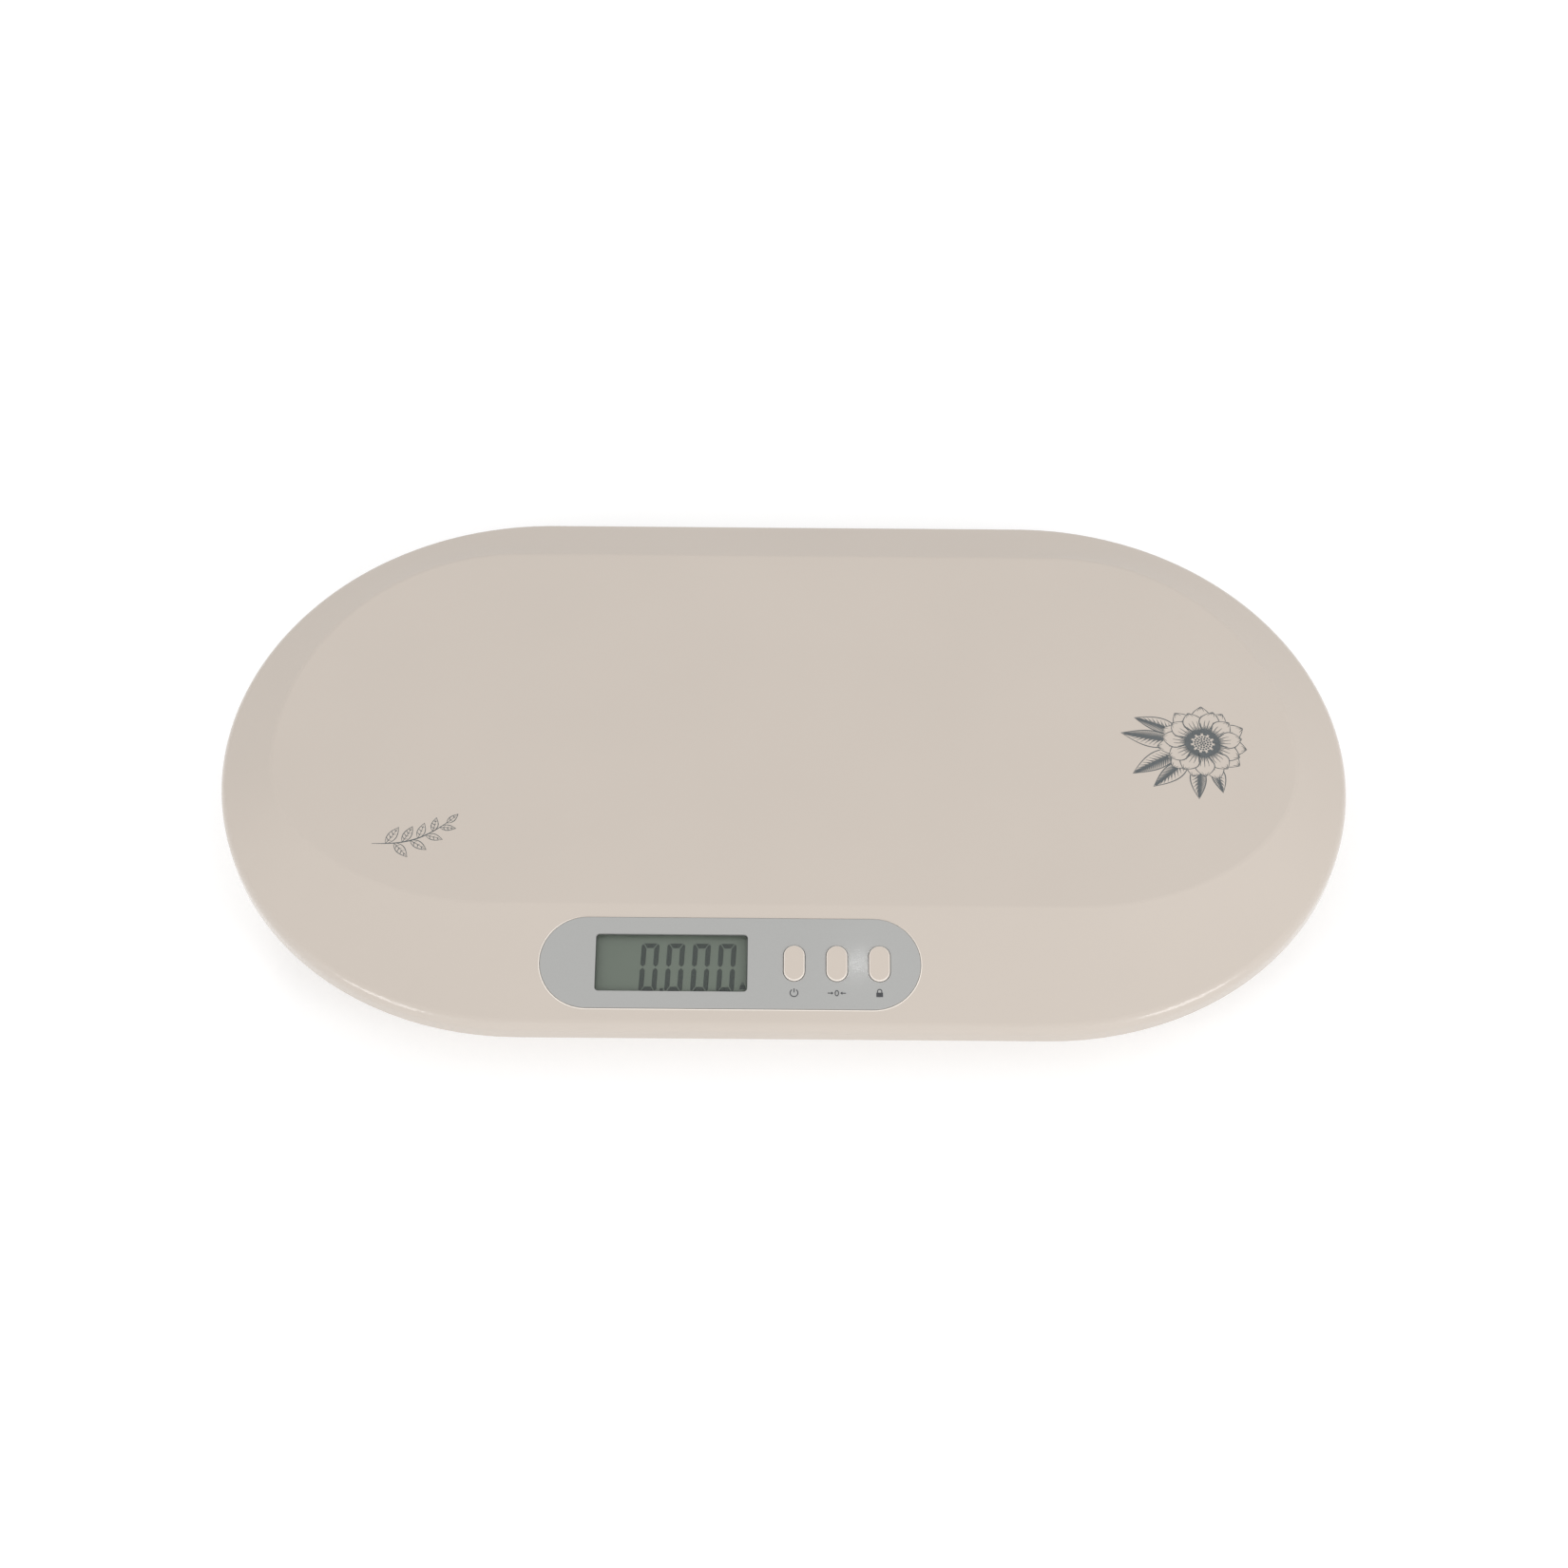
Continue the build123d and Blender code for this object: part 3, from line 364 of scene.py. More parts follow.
BEIGE = from_srgb(203, 193, 183)
COVER_BEIGE = from_srgb(199, 188, 178)
KEY_BEIGE = from_srgb(202, 191, 180)
# lighter colour painted on the keys' rounded edges as a painted highlight
KEY_EDGE_HIGHLIGHT = from_srgb(240, 231, 222)
PANEL_GREY = from_srgb(167, 167, 165)
FIELD_GREEN = from_srgb(109, 120, 107)
SEGMENT_GREY = from_srgb(34, 43, 41)
SLATE = from_srgb(87, 92, 94)
LEGEND_GREY = from_srgb(60, 61, 64)
# pale colour of the painted highlight along the panel's recess
LIP_HIGHLIGHT = from_srgb(245, 238, 229)
TRACK_GREEN = from_srgb(52, 138, 92)
BOARD_GREENS = (from_srgb(22, 92, 58), from_srgb(24, 98, 62))
STEEL = from_srgb(190, 190, 192)
WHITE_PLASTIC = from_srgb(232, 231, 226)

TRAY_SPECULAR = 0.25
TRAY_ROUGHNESS = 0.4
TRAY_DRIFT = 0.008
RIM_GLOSS = 0.75
RIM_COAT_ROUGHNESS = 0.12
KEY_ROUGHNESS = 0.34
KEY_DRIFT = 0.012

# how far the rim's gloss and the keys' painted edge highlight turn away from the face, as cosines
RIM_GLOSS_START = 0.86
RIM_GLOSS_FULL = 0.78
KEY_HIGHLIGHT_START = 0.97
KEY_HIGHLIGHT_FULL = 0.8

# copper tracks: scale of the brick pattern, and width of its joints, which are the tracks
TRACK_SCALE = 120
TRACK_WIDTH = 0.06


def panel_surface():
    """Printed metal-grey plate: satin, with the fine sparkle of its ink."""
    material, tree, shader = new_surface("panel_print", Coat_Weight=0.3, Coat_Roughness=0.06)
    vary_colour(tree, shader, PANEL_GREY, amount=0.02, size=0.5 * MM)
    vary_roughness(tree, shader, 0.36, amount=0.05, size=10 * MM)
    add_grain(tree, shader, size=0.3 * MM, depth=0.003 * MM)
    return material


def field_surface():
    """Display glass seen from the front: grey-green, with a slow drift in tone."""
    material, tree, shader = new_surface("display_field", Coat_Weight=0.3, Coat_Roughness=0.1)
    vary_colour(tree, shader, FIELD_GREEN, amount=0.05, size=35 * MM, stretch=(1, 0.4, 1))
    vary_roughness(tree, shader, 0.4, amount=0.04, size=10 * MM)
    add_grain(tree, shader, size=0.25 * MM, depth=0.002 * MM)
    return material


def lens_surface():
    """Clear window: nearly all of it lets light through, with a faint haze."""
    material, tree, shader = new_surface("lens_clear", Alpha=0.12)
    vary_colour(tree, shader, from_srgb(110, 116, 110), amount=0.02, size=20 * MM)
    vary_roughness(tree, shader, 0.12, amount=0.04, size=8 * MM)
    add_grain(tree, shader, size=2 * MM, depth=0.001 * MM)
    return material


def turned_away(tree, axis, start, full, most=1.0):
    """Nought where the surface faces along an axis, rising as it turns away, by its cosine."""
    geometry = tree.nodes.new("ShaderNodeNewGeometry")
    facing = tree.nodes.new("ShaderNodeVectorMath")
    facing.operation = "DOT_PRODUCT"
    facing.inputs[1].default_value = axis
    share = tree.nodes.new("ShaderNodeMapRange")
    share.inputs["From Min"].default_value = start
    share.inputs["From Max"].default_value = full
    share.inputs["To Max"].default_value = most
    tree.links.new(geometry.outputs["True Normal"], facing.inputs[0])
    tree.links.new(facing.outputs["Value"], share.inputs["Value"])
    return share.outputs["Result"]


def tray_surface():
    """Beige plastic, satin on top and glossier on the rounded rim and the skirt."""
    material, tree, shader = new_surface(
        "tray_plastic", Specular_IOR_Level=TRAY_SPECULAR, Coat_Roughness=RIM_COAT_ROUGHNESS
    )
    vary_colour(tree, shader, BEIGE, TRAY_DRIFT, MOULD_PATCH)
    add_mould_marks(tree, shader, TRAY_ROUGHNESS)
    gloss = turned_away(tree, (0, 0, 1), RIM_GLOSS_START, RIM_GLOSS_FULL, RIM_GLOSS)
    tree.links.new(gloss, shader.inputs["Coat Weight"])
    return material


def key_surface():
    """Key plastic, whose rounded edge carries a painted highlight: a lighter colour than its face.
    """
    material, tree, shader = new_surface("key_plastic")
    add_mould_marks(tree, shader, KEY_ROUGHNESS)
    patches = noise(tree, MOULD_PATCH, DRIFT_DETAIL)
    face_tone = drifting(tree, patches, KEY_BEIGE, KEY_DRIFT)
    highlight_tone = drifting(tree, patches, KEY_EDGE_HIGHLIGHT, KEY_DRIFT)
    mix = tree.nodes.new("ShaderNodeMix")
    mix.data_type = "RGBA"
    # painted highlight: the lighter colour is mixed in where the key's edge turns away from its face
    edge = turned_away(tree, PANEL_OUT, KEY_HIGHLIGHT_START, KEY_HIGHLIGHT_FULL)
    tree.links.new(edge, mix.inputs["Factor"])
    tree.links.new(face_tone, mix.inputs["A"])
    tree.links.new(highlight_tone, mix.inputs["B"])
    tree.links.new(mix.outputs["Result"], shader.inputs["Base Color"])
    return material


def banded(name, node, bands, flip, roughness, metallic):
    """Sleeve whose colour changes in bands from one end of a node to the other along x."""
    material, tree, shader = new_surface(name, Metallic=metallic)
    place = tree.nodes.new("ShaderNodeTexCoord")
    split = tree.nodes.new("ShaderNodeSeparateXYZ")
    share = tree.nodes.new("ShaderNodeMapRange")
    low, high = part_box(node)
    start, end = (high.x, low.x) if flip else (low.x, high.x)
    share.inputs["From Min"].default_value = start
    share.inputs["From Max"].default_value = end
    tree.links.new(place.outputs["Object"], split.inputs["Vector"])
    tree.links.new(split.outputs["X"], share.inputs["Value"])
    colour = ramp(tree, share.outputs["Result"], bands)
    colour.node.color_ramp.interpolation = "CONSTANT"
    tree.links.new(colour, shader.inputs["Base Color"])
    vary_roughness(tree, shader, roughness, amount=0.06, size=3 * MM)
    add_grain(tree, shader, size=0.6 * MM, depth=0.004 * MM)
    return material


def board_surface():
    """Solder mask over copper tracks that show through it as a lighter green."""
    material, tree, shader = new_surface("board_mask", Coat_Weight=0.4, Coat_Roughness=0.2)
    place = tree.nodes.new("ShaderNodeTexCoord")
    tracks = tree.nodes.new("ShaderNodeTexBrick")
    tracks.inputs["Scale"].default_value = TRACK_SCALE
    tracks.inputs["Mortar Size"].default_value = TRACK_WIDTH
    tracks.inputs["Color1"].default_value, tracks.inputs["Color2"].default_value = BOARD_GREENS
    tracks.inputs["Mortar"].default_value = TRACK_GREEN
    tree.links.new(place.outputs["Object"], tracks.inputs["Vector"])
    tree.links.new(tracks.outputs["Color"], shader.inputs["Base Color"])
    vary_roughness(tree, shader, 0.35, amount=0.05, size=4 * MM)
    add_grain(tree, shader, size=0.5 * MM, depth=0.004 * MM)
    return material


def rubber_surface():
    """Grey rubber of the foot pads, with a fine moulded texture."""
    material, tree, shader = new_surface("foot_rubber")
    vary_colour(tree, shader, from_srgb(112, 112, 114), amount=0.06, size=4 * MM)
    vary_roughness(tree, shader, 0.75, amount=0.06, size=4 * MM)
    add_grain(tree, shader, size=0.5 * MM, depth=0.02 * MM)
    return material


CORNERS = ["front_left", "front_right", "back_left", "back_right"]
KEYS = ["power", "tare", "hold"]

tray_material = tray_surface()
cover_material = moulded("cover_plastic", COVER_BEIGE, 0.55, grain=0.6 * MM, depth=0.015 * MM)
key_material = key_surface()
inner_material = moulded("inner_plastic", WHITE_PLASTIC, 0.5)
black_material = moulded("black_plastic", from_srgb(40, 40, 42), 0.5)
foam_material = moulded(
    "black_foam", from_srgb(30, 30, 31), 0.95, drift=0.1, grain=0.8 * MM, depth=0.05 * MM
)
sheath_material = moulded("lead_sheath", from_srgb(205, 205, 202), 0.5)
potting_material = moulded(
    "gauge_potting", from_srgb(238, 238, 234), 0.6, drift=0.03, grain=1.2 * MM, depth=0.05 * MM
)
plate_metal = metal("plated_contacts", from_srgb(214, 213, 208), 0.22)
screw_metal = metal("screw_steel", from_srgb(176, 177, 180), 0.32)
cell_metal = metal("cell_steel", STEEL, 0.3, brush=(0.15, 1, 1))
# painted highlight: the pale stroke beside the panel's recess
lip_highlight_material = moulded("recess_lip_highlight", LIP_HIGHLIGHT, 0.3)
legend_ink = ink("legend_ink", LEGEND_GREY)
motif_ink = ink("motif_ink", SLATE, 0.45)
segment_ink = ink("segment_ink", SEGMENT_GREY, 0.4)
border_ink = ink("border_ink", from_srgb(70, 76, 71), 0.4)

NODE_MATERIALS = {
    "top_tray": tray_material,
    "bottom_cover": cover_material,
    "battery_door": cover_material,
    "display_panel": panel_surface(),
    "display_lens": lens_surface(),
    "lcd_glass": field_surface(),
    "lcd_reflector": moulded("reflector_film", from_srgb(120, 126, 118), 0.35),
    "display_gasket": foam_material,
    "lcd_holder": inner_material,
    "lcd_connector_strip": black_material,
    "circuit_board": board_surface(),
    "controller_chip": moulded("black_epoxy", from_srgb(22, 22, 24), 0.2),
    "board_capacitors": moulded("capacitor_sleeve", from_srgb(38, 44, 70), 0.3),
    "board_crystal": plate_metal,
    "lead_headers": inner_material,
    "contact_plates": plate_metal,
    "spring_plates": plate_metal,
    "contact_springs": plate_metal,
    "cover_screws": screw_metal,
    "board_screws": screw_metal,
    "retainer_screws": screw_metal,
}
for key in KEYS:
    NODE_MATERIALS[f"{key}_button"] = key_material
    NODE_MATERIALS[f"{key}_switch"] = black_material
    NODE_MATERIALS[f"{key}_plunger"] = inner_material
foot_material = moulded("foot_plastic", COVER_BEIGE, 0.5)
pad_material = rubber_surface()
for corner in CORNERS:
    NODE_MATERIALS[f"load_cell_{corner}"] = cell_metal
    NODE_MATERIALS[f"foot_carrier_{corner}"] = foot_material
    NODE_MATERIALS[f"foot_pad_{corner}"] = pad_material
    NODE_MATERIALS[f"cell_retainer_{corner}"] = inner_material
    NODE_MATERIALS[f"gauge_cover_{corner}"] = potting_material
# colours of a battery cell from its flat end to its button, each from a share of the length on
CELL_BANDS = [
    (0.0, STEEL),
    (0.02, from_srgb(34, 37, 42)),
    (0.74, from_srgb(196, 150, 84)),
    (0.965, STEEL),
]
for index, flip in ((1, False), (2, True), (3, False)):
    node = f"battery_cell_{index}"
    NODE_MATERIALS[node] = banded(
        f"{node}_sleeve", node, CELL_BANDS, flip, roughness=0.3, metallic=0.6
    )


def dress(node, material):
    """Give a CAD node one material."""
    slots = nodes[node].data.materials
    slots.clear()
    slots.append(material)


# ---------------------------------------------------------------- leads inside the casing

LEAD_DIAMETER = 2.4 * MM
LEADS = {
    "cell_lead_front_left": (
        112.8,
        [
            (-160, -80, 17.4),
            (-138, -80, 17.4),
            (-120, -76, 19.5),
            (-103, -68, 25),
            (-90, -68, 30.5),
            (-83.5, -79, 35),
            (-83.6, -93.7, 36.7),
            (-83.6, -105.4, 34),
        ],
    ),
    "cell_lead_back_left": (
        227.6,
        [
            (-160, 80, 17.4),
            (-138, 80, 17.4),
            (-116, 66, 18.5),
            (-96, 28, 19.5),
            (-84, -16, 21.5),
            (-75, -60, 27.5),
            (-71.6, -93.7, 36.7),
            (-71.6, -105.4, 34),
        ],
    ),
    "cell_lead_front_right": (
        165.9,
        [
            (160, -80, 17.4),
            (138, -80, 17.4),
            (114, -79, 18.5),
            (90, -76, 21),
            (67, -71, 25.5),
            (47, -66, 30.5),
            (33.5, -70, 34),
            (28, -81.5, 36),
            (28.4, -93.7, 36.7),
            (28.4, -105.4, 34),
        ],
    ),
    "cell_lead_back_right": (
        248.5,
        [
            (160, 80, 17.4),
            (138, 80, 17.4),
            (118, 66, 18.5),
            (94, 30, 19.5),
            (66, -8, 21.5),
            (36, -48, 26.5),
            (16.4, -93.7, 36.7),
            (16.4, -105.4, 34),
        ],
    ),
    "battery_lead": (
        112.9,
        [
            (-20, 2.95, 15.65),
            (-20, -19.05, 15.65),
            (-22, -48, 20),
            (-30, -76, 28.5),
            (-33.6, -93.7, 36.7),
            (-33.6, -105.4, 34),
        ],
    ),
}


def make_lead(node, route):
    """Soft lead as one smooth spline along the route's points."""
    curve = bpy.data.curves.new(f"{node}_sheath", "CURVE")
    curve.dimensions = "3D"
    curve.bevel_depth = LEAD_DIAMETER / 2
    curve.bevel_resolution = 4
    curve.use_fill_caps = True
    curve.resolution_u = 16
    spline = curve.splines.new("NURBS")
    spline.points.add(len(route) - 1)
    for point, spot in zip(spline.points, route):
        point.co = (*(Vector(spot) * MM), 1)
    spline.order_u = 3
    spline.use_endpoint_u = True
    curve.materials.append(sheath_material)
    piece = bpy.data.objects.new(f"{node}_sheath", curve)
    bpy.context.scene.collection.objects.link(piece)
    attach(piece, "casing")
    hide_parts(node)


for node, (length, route) in LEADS.items():
    make_lead(node, route)


# ---------------------------------------------------------------- display digits

DIGIT_FIRST_LEFT = -40.9 * MM
DIGIT_PITCH = 11.7 * MM
DIGIT_LEFTS = [DIGIT_FIRST_LEFT + DIGIT_PITCH * i for i in range(4)]
DIGIT_BOTTOM = -12.7 * MM
DIGIT_WIDTH = 8.1 * MM
DIGIT_HEIGHT = 23.0 * MM
SEGMENT = 2.3 * MM
SEGMENT_GAP = 0.28 * MM
CORNER_CUT = 0.75 * MM
DIGIT_LEAN = 0.048
POINT_SIZE = 1.6 * MM

# outline of the weight's body in millimetres, from the middle of its foot
WEIGHT_BODY = [(-1.5, 0), (1.5, 0), (1.05, 2.1), (-1.05, 2.1)]
WEIGHT_X = 5.7 * MM
WEIGHT_BOTTOM = -11.4 * MM
WEIGHT_RING_Y = WEIGHT_BOTTOM + 2.6 * MM
WEIGHT_RING_RADIUS = 0.5 * MM
WEIGHT_RING_LINE = 0.35 * MM


def leaning(x, y):
    """Point of a digit, leant over by its height above the digits' middle."""
    return (x + DIGIT_LEAN * (y - DIGIT_HEIGHT / 2), y)


def digit_zero(mesh, left):
    """The six lit segments of a nought, with mitred ends."""
    width, height, thick = DIGIT_WIDTH, DIGIT_HEIGHT, SEGMENT
    gap, cut = SEGMENT_GAP, CORNER_CUT
    top_half = [
        [
            (cut + gap, height),
            (thick + gap, height - thick),
            (width - thick - gap, height - thick),
            (width - cut - gap, height),
        ],
        [
            (0, height - cut - gap),
            (0, height / 2 + thick / 2 + gap),
            (thick / 2, height / 2 + gap),
            (thick, height / 2 + thick / 2 + gap),
            (thick, height - thick - gap),
            (cut, height - gap),
        ],
    ]
    shapes = list(top_half)
    shapes.append([(width - x, y) for x, y in reversed(top_half[1])])
    shapes += [[(x, height - y) for x, y in reversed(shape)] for shape in list(shapes)]
    for shape in shapes:
        leant = [leaning(x, y) for x, y in shape]
        add_plate(mesh, [(left + x, DIGIT_BOTTOM + y) for x, y in leant], on_glass)


def make_digits():
    """Four noughts with a point after the first, on the front of the display glass."""
    mesh = bmesh.new()
    for left in DIGIT_LEFTS:
        digit_zero(mesh, left)
    point_left = (DIGIT_LEFTS[0] + DIGIT_WIDTH + DIGIT_LEFTS[1] - POINT_SIZE) / 2
    corners = [(0, 0), (POINT_SIZE, 0), (POINT_SIZE, POINT_SIZE), (0, POINT_SIZE)]
    add_plate(mesh, [(point_left + x, DIGIT_BOTTOM + y) for x, y in corners], on_glass)
    new_piece("display_digits", mesh, "casing", segment_ink)


def make_weight_mark():
    """Small picture of a weight, where a unit would stand."""
    mesh = bmesh.new()
    body = [(WEIGHT_X + x * MM, WEIGHT_BOTTOM + y * MM) for x, y in WEIGHT_BODY]
    add_plate(mesh, body, on_glass)
    ring = circle((WEIGHT_X, WEIGHT_RING_Y), WEIGHT_RING_RADIUS, 20)
    add_stroke(mesh, ring, even(ring, WEIGHT_RING_LINE), on_glass, closed=True)
    new_piece("display_weight_mark", mesh, "casing", segment_ink)


make_digits()
make_weight_mark()


# ---------------------------------------------------------------- printed border of the window

LENS_MARGIN = 3.0 * MM
WINDOW_ROUND = 1.8 * MM
BORDER_WIDTH = 0.9 * MM


def make_window_border():
    """Dark border printed on the lens, of which the inner half shows round the window."""
    mesh = bmesh.new()
    right = reach("display_lens", PANEL_RIGHT) - LENS_MARGIN
    left = -reach("display_lens", -PANEL_RIGHT) + LENS_MARGIN
    top = reach("display_lens", PANEL_UP) - LENS_MARGIN
    corners = [(right, top, 0), (left, top, 90), (left, -top, 180), (right, -top, 270)]
    path = []
    for x, y, start in corners:
        inner_x = x - WINDOW_ROUND if x == right else x + WINDOW_ROUND
        inner_y = y - WINDOW_ROUND if y == top else y + WINDOW_ROUND
        path += arc((inner_x, inner_y), WINDOW_ROUND, start, start + 90, 8)
    add_stroke(mesh, path, even(path, BORDER_WIDTH), on_lens, closed=True)
    new_piece("window_border", mesh, "casing", border_ink)


make_window_border()


# ---------------------------------------------------------------- painted highlight along the lip of the panel's recess

PANEL_PROUD = 0.4 * MM
LIP_OFFSET = 0.5 * MM
LIP_WIDTH = 0.36 * MM

# the painted highlight runs between these angles round the panel's two ends, and thins out over
# these many points
LIP_START = 100
LIP_END = 430
CAP_STEPS = 60
LIP_TIP = 0.1
LIP_FADE_LEFT = 12
LIP_FADE_RIGHT = 40

on_slope = panel_place(reach("display_panel", PANEL_OUT) - PANEL_PROUD)


def make_recess_lip_highlight():
    """Painted highlight: a bright stroke along the edge of the recess round the panel's ends and
    lower side.
    """
    mesh = bmesh.new()
    half_length = middle("display_panel").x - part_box("display_panel")[0].x + LIP_OFFSET
    above = reach("display_panel", PANEL_UP)
    below = reach("display_panel", -PANEL_UP)
    radius = (above + below) / 2 + LIP_OFFSET
    middle_y = (above - below) / 2
    cap_x = half_length - radius
    path = arc((-cap_x, middle_y), radius, LIP_START, 270, CAP_STEPS)
    path += arc((cap_x, middle_y), radius, 270, LIP_END, CAP_STEPS)
    widths = []
    for i in range(len(path)):
        left_share = LIP_TIP + i / LIP_FADE_LEFT
        right_share = LIP_TIP + (len(path) - 1 - i) / LIP_FADE_RIGHT
        widths.append(LIP_WIDTH * min(1.0, left_share, right_share))
    add_stroke(mesh, path, widths, on_slope)
    new_piece("recess_lip_highlight", mesh, "casing", lip_highlight_material)


make_recess_lip_highlight()


# ---------------------------------------------------------------- legends under the buttons

LEGEND_Y = -14.0 * MM
LEGEND_LINE = 0.43 * MM
LEGEND_X = {key: middle(f"{key}_button").x - PANEL_ORIGIN.x for key in KEYS}

# sizes and outlines of the legends in millimetres, from the middle of each
POWER_RING_RADIUS = 1.75
POWER_RING_START = 122
POWER_RING_END = 418
POWER_STROKE = [(0, 0.2), (0, 2.1)]
NOUGHT_HALF_WIDTH = 0.75
NOUGHT_HALF_HEIGHT = 1.25
NOUGHT_STEPS = 32
ARROW_SHAFT = [(4.1, 0), (2.2, 0)]
ARROW_HEAD = [(1.5, 0), (2.5, 0.75), (2.5, -0.75)]
LOCK_BODY = [(-1.5, -1.7), (1.5, -1.7), (1.5, 0.4), (-1.5, 0.4)]
LOCK_BOW_RADIUS = 0.95
LOCK_BOW_FOOT = 0.35
LOCK_BOW_CENTRE = (0, 1.0)


def by_key(key, points):
    """Points given in millimetres from the middle of a key's legend."""
    return [(LEGEND_X[key] + x * MM, LEGEND_Y + y * MM) for x, y in points]


def add_line(mesh, key, points, closed=False):
    """Line of a key's legend along points in millimetres."""
    path = by_key(key, points)
    add_stroke(mesh, path, even(path, LEGEND_LINE), on_panel, closed)


def make_power_symbol():
    """Broken ring with a stroke through its gap."""
    mesh = bmesh.new()
    add_line(mesh, "power", arc((0, 0), POWER_RING_RADIUS, POWER_RING_START, POWER_RING_END))
    add_line(mesh, "power", POWER_STROKE)
    new_piece("power_legend", mesh, "casing", legend_ink)


def make_zero_symbol():
    """Nought between two arrows that point at it: set to nought."""
    mesh = bmesh.new()
    unit_circle = circle((0, 0), 1, NOUGHT_STEPS)
    nought = [(NOUGHT_HALF_WIDTH * x, NOUGHT_HALF_HEIGHT * y) for x, y in unit_circle]
    add_line(mesh, "tare", nought, closed=True)
    for way in (-1, 1):
        add_line(mesh, "tare", [(way * x, y) for x, y in ARROW_SHAFT])
        head = by_key("tare", [(way * x, y) for x, y in ARROW_HEAD])
        add_plate(mesh, head if way < 0 else head[::-1], on_panel)
    new_piece("tare_legend", mesh, "casing", legend_ink)


def make_hold_symbol():
    """Padlock: the reading stays."""
    mesh = bmesh.new()
    add_plate(mesh, by_key("hold", LOCK_BODY), on_panel)
    bow = [(LOCK_BOW_RADIUS, LOCK_BOW_FOOT)]
    bow += arc(LOCK_BOW_CENTRE, LOCK_BOW_RADIUS, 0, 180, 16)
    bow.append((-LOCK_BOW_RADIUS, LOCK_BOW_FOOT))
    add_line(mesh, "hold", bow)
    new_piece("hold_legend", mesh, "casing", legend_ink)


make_power_symbol()
make_zero_symbol()
make_hold_symbol()


# ---------------------------------------------------------------- printed plants on the plateau

BLADE_STEPS = 40
LEAF_FULLNESS = 0.85

# lines that fan out over a petal, in shares of its half breadth and of its length
FAN_LINES = 9
FAN_STEPS = 24
FAN_SPREAD = 0.86
FAN_FOOT = 0.03
FAN_LENGTH = 0.66
FAN_SIDE_LOSS = 0.22
FAN_ODD_LOSS = 0.2

# short lines that come in from a petal's tip
TIP_SIDES = (-0.5, 0.1, 0.55)
TIP_START = 0.97
TIP_STEP = 0.012

# a leaf's rib and veins, in the same shares; odd veins on the light side run further
RIB_LENGTH = 0.95
VEIN_LENGTH = 0.92
VEIN_RUN = 0.1
VEIN_STEPS = 12
DARK_REACH = 0.94
LIGHT_REACHES = (0.45, 0.75)
DARK_WEIGHT = 2.0
LIGHT_WEIGHT = 0.9

BLOOM_CENTRE = (0.200, 0.002)
BLOOM_PEN = 0.5 * MM

# the dark heart: radius of each ring of dots in millimetres and how many it has
HEART_RADIUS = 4.6 * MM
HEART_RINGS = ((0.0, 1), (1.25, 6), (2.5, 12), (3.75, 18))
HEART_TWIST = 40
DOT_RADIUS = 0.52 * MM

# each ring of petals: its turn in petals, then foot radius, length and breadth in millimetres
PETALS = 11
PETAL_RINGS = ((0, 3.6, 15.5, 9.4), (0.5, 5.5, 16.0, 9.0))
PETAL_TURN = 8
PETAL_FULLNESS = 1.4
PETAL_BEND = 0.05

# each leaf of the bloom: angle, length in millimetres and its dark side
BLOOM_LEAVES = (
    (150, 23, 1),
    (176, 27, -1),
    (203, 27, 1),
    (230, 24, -1),
    (258, 21, 1),
    (288, 18, -1),
)
BLOOM_LEAF_FOOT = 12 * MM
BLOOM_LEAF_BREADTH = 0.36
BLOOM_LEAF_BEND = 0.12
BLOOM_VEIN_PITCH = 1.05 * MM

SPRIG_ENDS = (Vector((-0.191, -0.060)), Vector((-0.156, -0.047)))
SPRIG_BOW = -0.12
SPRIG_PEN = 0.37 * MM
SPRIG_LEAVES = 9
SPRIG_LEAF_BREADTH = 0.4
SPRIG_LEAF_BEND = 0.08
SPRIG_VEIN_PITCH = 1.9 * MM


class Blade:
    """Outline of a leaf or petal about a midrib that runs out from its foot."""

    def __init__(self, foot, angle, length, breadth, fullness, bend):
        self.foot = Vector(foot)
        self.along = Vector((cos(radians(angle)), sin(radians(angle))))
        self.across = Vector((-self.along.y, self.along.x))
        self.length = length
        self.breadth = breadth
        self.fullness = fullness
        self.bend = bend

    def edge(self, share):
        """Half breadth at a share of the length."""
        return self.breadth / 2 * sin(pi * share**self.fullness)

    def spot(self, share, side):
        """Point at a share of the length, and at a share of the half breadth to the rib's left."""
        sideways = side * self.edge(share) + self.bend * self.length * share**2
        return self.foot + self.along * share * self.length + self.across * sideways

    def covers(self, point):
        """Whether a point lies inside the outline."""
        offset = point - self.foot
        share = offset.dot(self.along) / self.length
        if not 0 < share < 1:
            return False
        return abs(offset.dot(self.across) - self.bend * self.length * share**2) < self.edge(share)


class Disc:
    """Round shape that covers what lies behind it."""

    def __init__(self, centre, radius):
        self.centre = Vector(centre)
        self.radius = radius

    def covers(self, point):
        """Whether a point lies inside the circle."""
        return (point - self.centre).length < self.radius


def polar(centre, radius, angle):
    """Point at a radius and an angle in degrees from a centre."""
    turn = radians(angle)
    return Vector((centre[0] + radius * cos(turn), centre[1] + radius * sin(turn)))


def tapered(path, width):
    """Widths of a pen stroke that thins towards both ends."""
    last = len(path) - 1
    return [width * (0.35 + 0.65 * sin(pi * i / last)) for i in range(len(path))]


def fading(path, width, end_share):
    """Widths of a pen stroke that thins towards its end only."""
    last = len(path) - 1
    return [width * (1 + (end_share - 1) * i / last) for i in range(len(path))]


